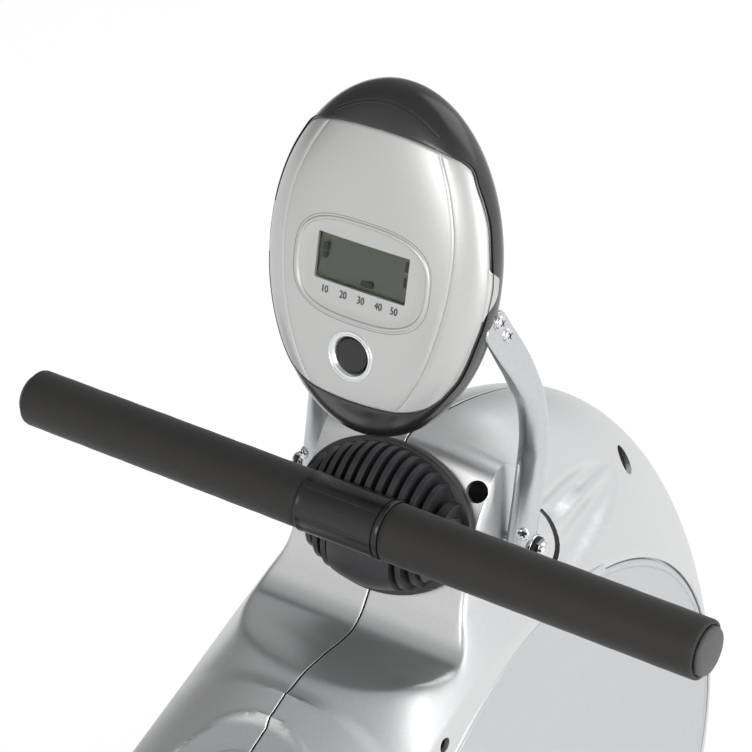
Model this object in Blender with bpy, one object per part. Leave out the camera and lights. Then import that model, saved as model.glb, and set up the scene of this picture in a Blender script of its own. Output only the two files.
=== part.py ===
"""Magnetic rowing machine: flywheel housing, console, pull handle, folding rail, seat and footplates.

Metres, +Z up. The rower sits at -Y and faces +Y, and X is to the rower's right. The machine stands on Z = 0,
and the origin lies on the floor at the middle of its length.
"""

import math

import bmesh
import bpy
from mathutils import Matrix, Vector

GAP = 0.0003

# Pull handle
HANDLE_LENGTH = 0.460
BAR_DIAMETER = 0.028
GRIP_FOAM = 0.0032
BAR_WALL = 0.002
SLEEVE_LENGTH = 0.057
SLEEVE_WALL = 0.0040
CAP_OVER_BAR = 0.001
CAP_HEAD = 0.0035
HANDLE_Y = 0.570
HANDLE_Z = 0.520

# Pull strap, whose line rises a little towards the rower
STRAP_WIDTH = 0.020
STRAP_THICKNESS = 0.0016
STRAP_RISE = math.radians(6.0)
GUIDE_RADIUS = 0.010

# Housing
HOUSING_WIDTH = 0.164
HOUSING_WALL = 0.003
COVER_RADIUS = 0.197
COVER_THICKNESS = 0.0035
COVER_SEAT = 0.012
WHEELHOUSE_Y = 0.672
WHEELHOUSE_Z = 0.238
SHOULDER_RADIUS = 0.199
NOSE_Y = 0.617
NOSE_Z = 0.226
NOSE_RADIUS = 0.319
PEDESTAL_WIDTH = 0.116
UNDERSIDE_OPENING = 0.072
KNOB_RING_Y = 0.447

# Ribbed rest, an oval pad whose plate lies on the pedestal's face
REST_Y = 0.605
REST_Z = 0.4995
REST_TILT = math.radians(66.05)
REST_WIDTH = 0.114
REST_HEIGHT = 0.090
REST_PLATE = 0.005
REST_DOME = 0.034
RIB_PITCH = 0.0072
RIB_SLOT = 0.0038

# Console, placed by the middle of its display
CONSOLE_Y = 0.578
CONSOLE_Z = 0.6773
CONSOLE_TILT = math.radians(78.7)
CONSOLE_WIDTH = 0.146
CONSOLE_HEIGHT = 0.215
CONSOLE_FRONT = 0.0213
CONSOLE_BACK = 0.030
CONSOLE_EDGE = 0.022
CONSOLE_WALL = 0.0025
DISPLAY_WIDTH = 0.060
DISPLAY_HEIGHT = 0.027
BUTTON_DIAMETER = 0.020
BUTTON_DROP = 0.052
BUTTON_TRAVEL = 0.002

# Bracket arms
ARM_DIAMETER = 0.017
ARM_INSET = 0.0095
ARM_FLAT = 0.0015
BOLT_DIAMETER = 0.008

# Drive
FLYWHEEL_RADIUS = 0.115
FLYWHEEL_WIDTH = 0.018
FLYWHEEL_Y = 0.720
FLYWHEEL_Z = 0.250
AXLE_DIAMETER = 0.010
DRIVE_AXLE_DIAMETER = 0.012
PULLEY_RADIUS = 0.090
HUB_PULLEY_RADIUS = 0.022
BELT_WIDTH = 0.0076
BELT_THICKNESS = 0.002
DRUM_RADIUS = 0.030
DRUM_FLANGE = 0.034
DRIVE_AXLE_BEARING = math.radians(148.4)
BELT_X = 0.021

# Frame
BEAM_WIDTH = 0.060
BEAM_HEIGHT = 0.050
TUBE_WALL = 0.003
BEAM_Z = 0.262
BASE_BEAM_Z = 0.0808
PLATE_THICKNESS = 0.005
STABILIZER_DIAMETER = 0.050
STABILIZER_Z = 0.030
FRONT_STABILIZER_Y = 0.800
FRONT_STABILIZER_LENGTH = 0.420
END_CAP_LENGTH = 0.040
WHEEL_RADIUS = 0.025
WHEEL_WIDTH = 0.018
WHEEL_X = 0.150
WHEEL_AXLE_Y = 0.852

# Folding rail
HINGE_Y = 0.110
HINGE_PIN_DIAMETER = 0.012
RAIL_WIDTH = 0.044
RAIL_HEIGHT = 0.080
RAIL_FRONT_Y = 0.128
RAIL_LENGTH = 1.060
LEG_Y = -0.900
REAR_STABILIZER_LENGTH = 0.360

# Seat
SEAT_Y = -0.450
SEAT_WIDTH = 0.300
SEAT_LENGTH = 0.260
SEAT_THICKNESS = 0.055
SEAT_ROLLER_RADIUS = 0.020
SEAT_ROLLER_SPREAD = 0.060
LOWER_ROLLER_RADIUS = 0.012
CARRIAGE_WALL = 0.004

# Footplates
PEDAL_AXLE_Y = 0.330
PEDAL_AXLE_DIAMETER = 0.016
PEDAL_TILT = math.radians(45.0)
FOOTPLATE_WIDTH = 0.110
FOOTPLATE_LENGTH = 0.250
FOOTPLATE_THICKNESS = 0.008
FOOTPLATE_GAP = 0.018
FOOTPLATE_OFFSET = 0.026
FOOT_STRAP_HEIGHT = 0.075
FOOT_STRAP_WIDTH = 0.040

HALF = HOUSING_WIDTH / 2
ARM_X = HALF - ARM_INSET
FOOTPLATE_X = HALF + FOOTPLATE_GAP + FOOTPLATE_WIDTH / 2
STRAP_LINE = Vector((0.0, -math.cos(STRAP_RISE), math.sin(STRAP_RISE)))
HANDLE = Vector((0.0, HANDLE_Y, HANDLE_Z))
HINGE = Vector((0.0, HINGE_Y, BEAM_Z))
FLYWHEEL = Vector((0.0, FLYWHEEL_Y, FLYWHEEL_Z))
DRIVE_REACH = FLYWHEEL_RADIUS + DRUM_FLANGE + 0.0036
DRIVE_AXLE = FLYWHEEL + DRIVE_REACH * Vector((0.0, math.cos(DRIVE_AXLE_BEARING),
                                              math.sin(DRIVE_AXLE_BEARING)))


# Materials

def finish(name, colour, roughness, metallic=0.0):
    """A named surface finish."""
    material = bpy.data.materials.get(name) or bpy.data.materials.new(name)
    material.use_nodes = True
    shader = material.node_tree.nodes["Principled BSDF"]
    shader.inputs["Base Color"].default_value = (*colour, 1.0)
    shader.inputs["Roughness"].default_value = roughness
    shader.inputs["Metallic"].default_value = metallic
    return material


def silver_paint():
    return finish("silver_paint", (0.62, 0.63, 0.64), 0.35, 0.3)


def black_plastic():
    return finish("black_plastic", (0.02, 0.02, 0.022), 0.45)


def foam():
    return finish("grip_foam", (0.035, 0.033, 0.032), 0.85)


def rubber():
    return finish("rubber", (0.025, 0.025, 0.025), 0.8)


def steel():
    return finish("bright_steel", (0.55, 0.55, 0.56), 0.3, 0.9)


def frame_paint():
    return finish("frame_paint", (0.60, 0.61, 0.62), 0.4, 0.4)


def cast_iron():
    return finish("cast_iron", (0.18, 0.18, 0.19), 0.5, 0.8)


def webbing():
    return finish("webbing", (0.03, 0.03, 0.03), 0.9)


# Building blocks: each shape is a list of points and a list of faces

def clear_scene():
    for obj in list(bpy.data.objects):
        bpy.data.objects.remove(obj, do_unlink=True)


def add_object(name, shape, material, location=(0, 0, 0), tilt=0.0):
    """A mesh object from a shape, with its faces turned out. Tilt turns it about X."""
    points, faces = shape
    mesh = bpy.data.meshes.new(name)
    mesh.from_pydata([tuple(p) for p in points], [], faces)
    editing = bmesh.new()
    editing.from_mesh(mesh)
    bmesh.ops.recalc_face_normals(editing, faces=editing.faces)
    editing.to_mesh(mesh)
    editing.free()
    mesh.shade_smooth()
    mesh.set_sharp_from_angle(angle=math.radians(35))
    obj = bpy.data.objects.new(name, mesh)
    bpy.context.scene.collection.objects.link(obj)
    obj.location = location
    obj.rotation_euler = (tilt, 0.0, 0.0)
    if material:
        mesh.materials.append(material)
    return obj


def helper(name, shape, location=(0, 0, 0), tilt=0.0):
    """A solid that only cuts or joins another, and is left out of the machine."""
    obj = add_object(name, shape, None, location, tilt)
    obj.hide_render = True
    obj.display_type = "WIRE"
    return obj


def boolean(obj, other, operation):
    modifier = obj.modifiers.new(operation.lower(), "BOOLEAN")
    modifier.operation = operation
    modifier.object = other
    return obj


def cut(obj, *cutters):
    for cutter in cutters:
        boolean(obj, cutter, "DIFFERENCE")


def fuse(obj, *others):
    for other in others:
        boolean(obj, other, "UNION")


def joined(*shapes):
    """Several shapes as one list of points and faces."""
    points = []
    faces = []
    for more_points, more_faces in shapes:
        start = len(points)
        points.extend(more_points)
        faces.extend([tuple(i + start for i in face) for face in more_faces])
    return points, faces


def skin(rings, wrap_rings=False, caps=True):
    """Rings of equal count joined in order. The ends are capped, or the last ring meets the first."""
    count = len(rings[0])
    points = [p for ring in rings for p in ring]
    faces = []
    last = len(rings) if wrap_rings else len(rings) - 1
    for i in range(last):
        near = i * count
        far = (i + 1) % len(rings) * count
        for j in range(count):
            k = (j + 1) % count
            faces.append((near + j, near + k, far + k, far + j))
    if caps and not wrap_rings:
        faces.append(tuple(reversed(range(count))))
        faces.append(tuple(range(len(points) - count, len(points))))
    return points, faces


def turned(profile, sides, axis="X", flats=False):
    """A closed profile of (radius, height) turned about an axis. Points on the axis become poles.

    With flats the radii are measured to the middle of each side, and one side lies at the bottom.
    """
    turn = math.pi / sides if flats else 0.0
    grow = 1 / math.cos(turn)
    points = []
    index = []
    for radius, height in profile:
        if radius < 1e-7:
            index.append([len(points)] * sides)
            points.append(Vector((height, 0.0, 0.0)))
            continue
        index.append(list(range(len(points), len(points) + sides)))
        for i in range(sides):
            angle = 2 * math.pi * i / sides + turn
            points.append(Vector((height, radius * grow * math.cos(angle), radius * grow * math.sin(angle))))
    faces = []
    for row in range(len(profile)):
        here = index[row]
        there = index[(row + 1) % len(profile)]
        for i in range(sides):
            k = (i + 1) % sides
            corners = []
            for corner in (here[i], here[k], there[k], there[i]):
                if corner not in corners:
                    corners.append(corner)
            if len(corners) > 2:
                faces.append(tuple(corners))
    if axis == "Z":
        points = [Vector((p.y, p.z, p.x)) for p in points]
    if axis == "Y":
        points = [Vector((p.z, p.x, p.y)) for p in points]
    return points, faces


def rod(radius, low, high, sides, axis="X", edge=0.0):
    """A solid round bar from low to high on its axis, with chamfered ends."""
    profile = [(0.0, low), (radius - edge, low), (radius, low + edge), (radius, high - edge)]
    profile += [(radius - edge, high), (0.0, high)]
    if edge == 0.0:
        profile = [(0.0, low), (radius, low), (radius, high), (0.0, high)]
    return turned(profile, sides, axis)


def pipe(outer, inner, low, high, sides, axis="X"):
    """A round tube, open at both ends."""
    return turned([(inner, low), (outer, low), (outer, high), (inner, high)], sides, axis)


def slab(outline, low, high):
    """A flat outline of (y, z) points, thickened along X."""
    rings = [[Vector((x, y, z)) for y, z in outline] for x in (low, high)]
    return skin(rings)


def raised(outline, low, high):
    """An (x, y) outline raised along Z."""
    return skin([[Vector((a, b, z)) for a, b in outline] for z in (low, high)])


def box(x0, x1, y0, y1, z0, z1):
    return slab([(y0, z0), (y1, z0), (y1, z1), (y0, z1)], x0, x1)


def arc(centre, radius, start, end, steps):
    """Points on an arc, with angles in degrees from the first axis."""
    points = []
    for i in range(steps + 1):
        angle = math.radians(start + (end - start) * i / steps)
        points.append((centre[0] + radius * math.cos(angle), centre[1] + radius * math.sin(angle)))
    return points


def rounded_outline(half_a, half_b, radius, steps=4):
    """A rectangle with round corners, centred on zero."""
    points = []
    for sign_a, sign_b, start in ((1, 1, 0), (-1, 1, 90), (-1, -1, 180), (1, -1, 270)):
        centre = (sign_a * (half_a - radius), sign_b * (half_b - radius))
        points += arc(centre, radius, start, start + 90, steps)
    return points


def bead(outline, path, closed=False):
    """A section of (x, n) points swept along a (y, z) path, mitred at each bend."""
    rings = []
    count = len(path)
    for i, (y, z) in enumerate(path):
        here = Vector((y, z))
        before = Vector(path[i - 1]) if (i > 0 or closed) else None
        after = Vector(path[(i + 1) % count]) if (i < count - 1 or closed) else None
        along = []
        if before is not None:
            along.append((here - before).normalized())
        if after is not None:
            along.append((after - here).normalized())
        direction = sum(along, Vector((0, 0))).normalized()
        spread = 1 / max(0.3, direction.dot(along[0]))
        normal = Vector((-direction.y, direction.x)) * spread
        rings.append([Vector((x, y + normal.x * n, z + normal.y * n)) for x, n in outline])
    return skin(rings, wrap_rings=closed)


def hollow_bead(outer, inner, path):
    """A tube of any section along a (y, z) path, open at both ends."""
    outside = bead(outer, path)
    inside = bead(inner, path)
    count = len(outer)
    walls = joined((outside[0], outside[1][:-2]), (inside[0], inside[1][:-2]))
    faces = walls[1]
    second = len(outside[0])
    last = second - count
    for j in range(count):
        k = (j + 1) % count
        faces.append((j, k, second + k, second + j))
        faces.append((last + j, last + k, second + last + k, second + last + j))
    return walls[0], faces


def ease(low, high, value):
    """0 below low, 1 above high, and a smooth step between."""
    t = min(1.0, max(0.0, (value - low) / (high - low)))
    return t * t * (3 - 2 * t)


def smooth_path(points, steps):
    """A smooth curve through points, with steps pieces between each two."""
    path = []
    ends = [2 * Vector(points[0]) - Vector(points[1])] + [Vector(p) for p in points]
    ends.append(2 * ends[-1] - ends[-2])
    for i in range(1, len(ends) - 2):
        a, b, c, d = ends[i - 1], ends[i], ends[i + 1], ends[i + 2]
        for step in range(steps):
            t = step / steps
            path.append(0.5 * (2 * b + (c - a) * t + (2 * a - 5 * b + 4 * c - d) * t * t
                               + (3 * b - a - 3 * c + d) * t ** 3))
    path.append(ends[-2])
    return path


# Housing: the seam profile runs from the tail, through the scoop and up the pedestal's face, to the crown

SEAM_PROFILE = [
    (0.2300, 0.3100), (0.3000, 0.3425), (0.3800, 0.3785), (0.4400, 0.4060), (0.4660, 0.4182),
    (0.4790, 0.4243), (0.4915, 0.4302), (0.5030, 0.4362), (0.5120, 0.4396), (0.5200, 0.4403),
    (0.5310, 0.4403), (0.5460, 0.4403), (0.5600, 0.4396), (0.5715, 0.4412), (0.5790, 0.4466),
    (0.5860, 0.4555), (0.6050, 0.4995), (0.6228, 0.5398), (0.6319, 0.5450), (0.6609, 0.5419),
    (0.6900, 0.5368),
]
CROWN_PROFILE = [
    (0.466, 0.4182), (0.479, 0.4243), (0.4915, 0.4302), (0.503, 0.4362), (0.512, 0.4416), (0.524, 0.4512),
    (0.536, 0.4618), (0.549, 0.4737), (0.570, 0.4925), (0.596, 0.5110), (0.640, 0.5290), (0.690, 0.5368),
]
SCOOP_HALF_WIDTH = [
    (0.512, 0.0300), (0.518, 0.0340), (0.524, 0.0440), (0.536, 0.0560), (0.549, 0.0650), (0.560, 0.0695),
    (0.572, 0.0700), (0.581, 0.0660), (0.5865, 0.0615), (0.605, 0.0580),
]
TAIL_SLOPE = 0.38
TAIL_SHOULDER = (0.462, 0.385)
TAIL_UNDER = [
    (0.5350, 0.0863), (0.4920, 0.1101), (0.4470, 0.1350), (0.4000, 0.1610), (0.3200, 0.2055),
    (0.2400, 0.2500), (0.2330, 0.2720), (0.2306, 0.2910),
]
FRONT_ANGLES = [67, 55, 42, 28, 14, 0, -14, -28, -40, -56, -72, -88, -103, -119]
OPEN_BELOW_ANGLE = -30


def between(points, y):
    """Straight-line reading of a (y, z) list at y."""
    for (y0, z0), (y1, z1) in zip(points, points[1:]):
        if y <= y1:
            return z0 + (z1 - z0) * (y - y0) / (y1 - y0)
    return points[-1][1]


def shoulder_height(y):
    """Height of the side's upper edge: the tail's slope, levelling off over the wheelhouse."""
    top = WHEELHOUSE_Z + SHOULDER_RADIUS
    tail = TAIL_SHOULDER[1] + TAIL_SLOPE * (y - TAIL_SHOULDER[0])
    blend = 0.010
    return 0.5 * (top + tail - math.sqrt((top - tail) ** 2 + blend ** 2))


def shoulder_lean(y):
    """How much further forward the shoulder is than the seam, on one section."""
    return 0.0275 * ease(0.600, 0.690, y)


def feature_half_width(y):
    """Half the width of the pedestal, and of the scoop below it, whose floor runs out into the tail."""
    share = between(SCOOP_HALF_WIDTH, max(y, SCOOP_HALF_WIDTH[0][0])) / SCOOP_HALF_WIDTH[-1][1]
    return share * PEDESTAL_WIDTH / 2


def scoop_softness(y):
    """How softly the scoop's floor meets the tail round it."""
    return 0.004 * ease(0.500, 0.515, y) * (1 - ease(0.580, 0.600, y))


def pedestal_fall(y):
    """How far the pedestal's edge lies behind and below its seam, at its side."""
    rounding = ease(0.606, 0.622, y)
    back = (0.010 * ease(0.624, 0.632, y), -0.033 * rounding)
    return Vector(back)


def seam_sections():
    """Sections across the top, from the tail to where the round front begins."""
    sections = []
    for y, z in SEAM_PROFILE:
        side_y = y + shoulder_lean(y)
        crown = z if y < CROWN_PROFILE[0][0] else between(CROWN_PROFILE, y)
        sections.append({
            "seam": Vector((y, z)), "crown": Vector((y, crown)),
            "side": Vector((side_y, shoulder_height(side_y))),
            "width": feature_half_width(y), "fall": pedestal_fall(y), "start": 0.0, "soft": scoop_softness(y),
        })
    return sections


def front_sections():
    """Sections round the nose and under the wheelhouse, which is open along its middle."""
    sections = []
    for degrees in FRONT_ANGLES:
        way = Vector((math.cos(math.radians(degrees)), math.sin(math.radians(degrees))))
        radius = SHOULDER_RADIUS + 0.005 * ease(0, 30, -degrees)
        side = Vector((WHEELHOUSE_Y, WHEELHOUSE_Z)) + radius * way
        nose = Vector((NOSE_Y, NOSE_Z)) + NOSE_RADIUS * way
        fade = 1 - ease(5, 70, -degrees)
        start = UNDERSIDE_OPENING / 2 if degrees < OPEN_BELOW_ANGLE else 0.0
        crown = side + (nose - side) * fade
        sections.append({"seam": crown, "crown": crown, "side": side, "width": 0.0,
                         "fall": Vector((0, 0)), "start": start})
    return sections


def tail_sections():
    """Sections along the tail's lower edge and up its open end."""
    sections = []
    for point in TAIL_UNDER:
        corner = Vector(point)
        sections.append({"seam": corner, "crown": corner, "side": corner, "width": 0.0,
                         "fall": Vector((0, 0)), "start": UNDERSIDE_OPENING / 2})
    return sections


def section_point(section, x):
    """The (y, z) point of a section at x: a dome cut down to the scoop, with the pedestal standing on it."""
    u = x / HALF
    point = section["side"] + (section["crown"] - section["side"]) * (1 - u * u)
    if section["width"] > 0:
        seam = section["seam"]
        apart = point.y - seam.y
        point.y = 0.5 * (point.y + seam.y - math.hypot(apart, section["soft"]))
        edge = PEDESTAL_WIDTH / 2
        feature = seam + section["fall"] * (x / edge) ** 2
        point += (feature - point) * (1 - ease(edge - 0.003, edge + 0.005, x))
    return point


def recess_depth():
    return COVER_THICKNESS + GAP


def columns(section):
    """Distances from the seam at which a section is read, close together at the edge of the pedestal."""
    width = section["width"] if section["width"] > 0 else 0.047
    places = [0.0, 0.34 * width, 0.66 * width, 0.86 * width, width - 0.003, width + 0.001, width + 0.005]
    rest = HALF - places[-1]
    places += [places[-1] + 0.45 * rest, places[-1] + 0.80 * rest, HALF]
    start = max(section["start"], GAP / 2)
    return [start + x * (HALF - start) / HALF for x in places]


def shell_outside(sections):
    """Rows of points over the outside of the right shell, each from the seam to the cover's opening."""
    centre = Vector((WHEELHOUSE_Y, WHEELHOUSE_Z))
    rows = []
    for section in sections:
        row = [Vector((x, *section_point(section, x))) for x in columns(section)]
        ray = (section["side"] - centre).normalized()
        row.append(Vector((HALF, *(centre + ray * (COVER_RADIUS - COVER_SEAT)))))
        rows.append(row)
    return rows


def corner_normal(before, row, after, j):
    """Outward direction at a point of the shell, longer at a sharp corner to keep the wall's thickness."""
    normals = []
    for k in (j - 1, j):
        if k < 0:
            continue
        across = row[k + 1] - row[k]
        normals.append(across.cross(row[j] - before[j]).normalized())
        normals.append(across.cross(after[j] - row[j]).normalized())
    mean = sum(normals, Vector()).normalized()
    return mean / max(0.33, sum(mean.dot(n) for n in normals) / len(normals))


def shell_inside(sections, outside):
    """The same rows, one wall thickness further in."""
    centre = Vector((WHEELHOUSE_Y, WHEELHOUSE_Z))
    rim = COVER_RADIUS + 2 * GAP
    floor = HALF - recess_depth() - HOUSING_WALL
    last = len(outside[0]) - 2
    rows = []
    for i, row in enumerate(outside):
        before = outside[i - 1]
        after = outside[(i + 1) % len(outside)]
        along = (after[last] - before[last]).yz.normalized()
        edge = row[last].yz - Vector((-along.y, along.x)) * HOUSING_WALL - centre
        tight = edge.length < rim + 1.2 * HOUSING_WALL
        edge_x = floor + 0.0012 if tight else HALF - HOUSING_WALL
        inner = []
        for j in range(last):
            normal = corner_normal(before, row, after, j)
            if j == 0:
                normal.x = 0.0
            point = row[j] - normal * HOUSING_WALL
            point.x = min(point.x, edge_x - 0.0009 * (last - j))
            inner.append(point)
        inner[5] = (inner[4] + inner[6]) / 2
        ray = edge.normalized()
        for x, radius in (
            (edge_x, max(edge.length, rim + 1.2 * HOUSING_WALL)),
            (floor + 0.5 * (edge_x - floor), rim + 1.1 * HOUSING_WALL),
            (floor, rim + HOUSING_WALL), (floor, COVER_RADIUS - COVER_SEAT),
        ):
            inner.append(Vector((x, *(centre + ray * radius))))
        rows.append(inner)
    return rows


def shell_shape(side):
    """One half of the housing as a closed shell; side is 1 for the right and -1 for the left."""
    sections = seam_sections() + front_sections() + tail_sections()
    outside = shell_outside(sections)
    inside = shell_inside(sections, outside)
    rings = [row + list(reversed(inner)) for row, inner in zip(outside, inside)]
    points, faces = skin(rings, wrap_rings=True)
    return [Vector((p.x * side, p.y, p.z)) for p in points], faces


def strap_slot(name, clearance):
    """A slot along the strap's line, wider and deeper than the strap all round."""
    half_width = STRAP_WIDTH / 2 + clearance
    half_depth = STRAP_THICKNESS / 2 + clearance
    outline = rounded_outline(half_width, half_depth, half_depth * 0.9, 2)
    near = HANDLE - STRAP_LINE * (SLEEVE_RADIUS - 0.005)
    far = HANDLE - STRAP_LINE * 0.062
    rings = []
    for end in (near, far):
        rings.append([end + Vector((a, 0, 0)) + Vector((0, math.sin(STRAP_RISE), math.cos(STRAP_RISE))) * b
                      for a, b in outline])
    return helper(name, skin(rings))


def make_housing_shells():
    bolt_radius = BOLT_DIAMETER / 2 + 2 * GAP
    knob_seat, slope = ring_place()
    for name, side in (("right_housing_shell", 1), ("left_housing_shell", -1)):
        shell = add_object(name, shell_shape(side), silver_paint())
        low, high = sorted((side * 0.040, side * 0.075))
        bolt_hole = helper(name + "_bolt_hole", rod(bolt_radius, low, high, 12), bolt_place())
        low, high = sorted((side * 0.060, side * 0.100))
        pedal_radius = PEDAL_AXLE_DIAMETER / 2 + 0.001
        axle_hole = helper(name + "_axle_hole", rod(pedal_radius, low, high, 16), (0, PEDAL_AXLE_Y, BEAM_Z))
        low, high = sorted((side * (HALF - recess_depth()), side * 0.100))
        recess = helper(name + "_recess", rod(COVER_RADIUS + 2 * GAP, low, high, 52),
                        (0, WHEELHOUSE_Y, WHEELHOUSE_Z))
        knob_hole = helper(name + "_knob_hole", rod(0.0045, -0.020, 0.020, 14, "Z"), knob_seat, slope)
        cut(shell, recess, bolt_hole, axle_hole, knob_hole, strap_slot(name + "_strap_slot", 0.003))
        if side > 0:
            cut(shell, helper(name + "_lead_hole", rod(0.0022, 0, 0.020, 10, "Z"), lead_hole_place()))


def make_side_covers():
    inner = HALF - COVER_THICKNESS
    edge = 0.0008
    profile = [(0.0, inner), (COVER_RADIUS, inner), (COVER_RADIUS, HALF - edge), (COVER_RADIUS - edge, HALF),
               (0.0, HALF)]
    for name, side in (("right_side_cover", 1), ("left_side_cover", -1)):
        shape = turned([(radius, side * height) for radius, height in profile], 48)
        add_object(name, shape, silver_paint(), (0, WHEELHOUSE_Y, WHEELHOUSE_Z))


# Handle, rest and strap

SLEEVE_RADIUS = BAR_DIAMETER / 2 + GAP + SLEEVE_WALL


def make_handle():
    half = HANDLE_LENGTH / 2
    bar_radius = BAR_DIAMETER / 2
    bore = bar_radius - BAR_WALL
    bar_end = half - 0.001
    bar = add_object("handle_bar", pipe(bar_radius, bore, -bar_end, bar_end, 20), steel(), HANDLE)
    sleeve_end = SLEEVE_LENGTH / 2
    add_object("handle_sleeve", pipe(SLEEVE_RADIUS, bar_radius + GAP, -sleeve_end, sleeve_end, 28),
               black_plastic(), HANDLE)
    grip_radius = bar_radius + GAP + GRIP_FOAM
    start = sleeve_end + GAP
    for side, word in ((1, "right"), (-1, "left")):
        grip = [(bar_radius + GAP, start), (grip_radius, start), (grip_radius, half - 0.0012)]
        grip += [(grip_radius - 0.0012, half), (bar_radius + GAP, half)]
        grip = [(radius, side * height) for radius, height in grip]
        add_object("handle_grip_" + word, turned(grip, 24), foam(), HANDLE)
        stem = bore - GAP
        head = bar_radius + CAP_OVER_BAR
        face = half + GAP
        cap = [(0.0, bar_end - 0.018), (stem, bar_end - 0.018), (stem, face), (head, face)]
        cap += [(head, face + CAP_HEAD), (0.0, face + CAP_HEAD)]
        cap = [(radius, side * height) for radius, height in cap]
        add_object("handle_cap_" + word, turned(cap, 20), black_plastic(), HANDLE)
    return bar


def oval(half_a, half_b, height, steps):
    return [Vector((half_a * math.cos(2 * math.pi * i / steps), half_b * math.sin(2 * math.pi * i / steps),
                    height))
            for i in range(steps)]


def make_handle_rest():
    """An oval plate with a ribbed dome, hollowed for the bar and slotted for the strap."""
    steps = 32
    half_a = REST_WIDTH / 2
    half_b = REST_HEIGHT / 2
    base = GAP
    top = base + REST_PLATE
    rings = [oval(half_a, half_b, base, steps), oval(half_a, half_b, top - 0.001, steps)]
    rings.append(oval(half_a - 0.001, half_b - 0.001, top, steps))
    for level in (0.0, 0.38, 0.68, 0.90, 0.985):
        shrink = math.sqrt(1 - level ** 2)
        rings.append(oval((half_a - 0.004) * shrink, (half_b - 0.003) * shrink,
                          top + (REST_DOME - REST_PLATE) * level, steps))
    place = (0, REST_Y, REST_Z)
    rest = add_object("handle_rest", skin(rings), black_plastic(), place, REST_TILT)
    cradle = helper("rest_cradle", rod(SLEEVE_RADIUS + GAP, -0.07, 0.07, 32), HANDLE)
    slots = []
    for i in range(12):
        x = (i - 6.4) * RIB_PITCH + RIB_PITCH / 2
        slots.append(rib_slot(x, -0.004, 0.060, top))
    for x in (-5.0, -4.0, -3.0, 3.6, 4.6):
        slots.append(rib_slot(x * RIB_PITCH, -0.060, -0.010, top))
    comb = helper("rest_slots", joined(*slots), place, REST_TILT)
    cut(rest, cradle, comb, strap_slot("rest_strap_slot", 0.002))


def rib_slot(x, low, high, floor):
    """The space between two ribs."""
    half = RIB_SLOT / 2
    return skin([[Vector((x - half, y, floor)), Vector((x + half, y, floor)),
                  Vector((x + half, y, 0.060)), Vector((x - half, y, 0.060))] for y in (low, high)])


def guide_centre():
    """The guide roller stands so that the strap's line touches its top."""
    reach = 0.0740
    line = HANDLE - STRAP_LINE * reach
    drop = GUIDE_RADIUS + GAP + STRAP_THICKNESS / 2
    return line - Vector((0, math.sin(STRAP_RISE), math.cos(STRAP_RISE))) * drop


def strap_piece(name, path, material):
    outline = [(-STRAP_WIDTH / 2, -STRAP_THICKNESS / 2), (STRAP_WIDTH / 2, -STRAP_THICKNESS / 2),
               (STRAP_WIDTH / 2, STRAP_THICKNESS / 2), (-STRAP_WIDTH / 2, STRAP_THICKNESS / 2)]
    return add_object(name, bead(outline, path), material)


def make_straps():
    guide = guide_centre()
    drop = GUIDE_RADIUS + GAP + STRAP_THICKNESS / 2
    top = guide + Vector((0, math.sin(STRAP_RISE), math.cos(STRAP_RISE))) * drop
    near = HANDLE - STRAP_LINE * (SLEEVE_RADIUS + GAP)
    strap_piece("pull_strap", [tuple(near.yz), tuple((top + STRAP_LINE * GAP).yz)], webbing())
    wound = DRUM_RADIUS + GAP + STRAP_THICKNESS / 2
    gap_y = guide.y - DRIVE_AXLE.y
    gap_z = guide.z - DRIVE_AXLE.z
    distance = math.hypot(gap_y, gap_z)
    bearing = math.atan2(gap_z, gap_y)
    swing = math.acos((wound - drop) / distance)
    leave = math.degrees(bearing - swing)
    path = arc(tuple(guide.yz), drop, 90 - math.degrees(STRAP_RISE), leave, 8)
    path += arc(tuple(DRIVE_AXLE.yz), wound, leave, leave - 60, 5)
    strap_piece("inner_strap", path, webbing())


def make_guide_roller():
    pin = 0.003
    half = STRAP_WIDTH / 2
    end = BEAM_WIDTH / 2 + PLATE_THICKNESS + 0.003
    profile = [(0, -end), (pin, -end), (pin, -half - 0.003), (GUIDE_RADIUS + 0.002, -half - 0.003)]
    profile += [(GUIDE_RADIUS + 0.002, -half - 0.001), (GUIDE_RADIUS, -half - 0.001)]
    profile += [(radius, -height) for radius, height in reversed(profile)]
    add_object("strap_guide_roller", turned(profile, 16), steel(), guide_centre())


# Console

SILVER_EDGE = [
    (0.0, -0.746), (0.22, -0.742), (0.38, -0.734), (0.50, -0.714), (0.616, -0.674), (0.72, -0.603),
    (0.78, -0.540), (0.825, -0.487), (1.15, -0.460), (1.15, 0.480), (0.815, 0.520), (0.78, 0.577),
    (0.72, 0.628), (0.64, 0.659), (0.56, 0.679), (0.41, 0.706), (0.25, 0.722), (0.0, 0.730),
]


def egg(scale, height, steps, grow=0.0):
    """An egg outline in the console's own plane, X across and Y up its face."""
    half_a = CONSOLE_WIDTH / 2 + grow
    half_b = CONSOLE_HEIGHT / 2 + grow
    return [Vector((half_a * scale * math.cos(2 * math.pi * i / steps),
                    half_b * scale * math.sin(2 * math.pi * i / steps), height)) for i in range(steps)]


def console_body(grow):
    """The whole closed egg, grown or shrunk by grow, from its back to its front."""
    steps = 28
    rings = []
    front = CONSOLE_FRONT + grow
    back = CONSOLE_BACK + grow
    for level in (1.0, 0.92, 0.70, 0.40):
        scale = (1 - level ** 2.6) ** 0.62 if level < 1.0 else 0.42
        depth = -CONSOLE_EDGE - back * level if level < 1.0 else -CONSOLE_EDGE - back
        rings.append(egg(max(scale, 0.42), depth, steps, grow))
    rings.append(egg(1.0, -CONSOLE_EDGE, steps, grow))
    for level in (0.35, 0.62, 0.80, 0.92, 0.985):
        rings.append(egg((1 - level ** 2.4) ** 0.3125, -CONSOLE_EDGE + front * level, steps, grow))
    return skin(rings)


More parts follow.
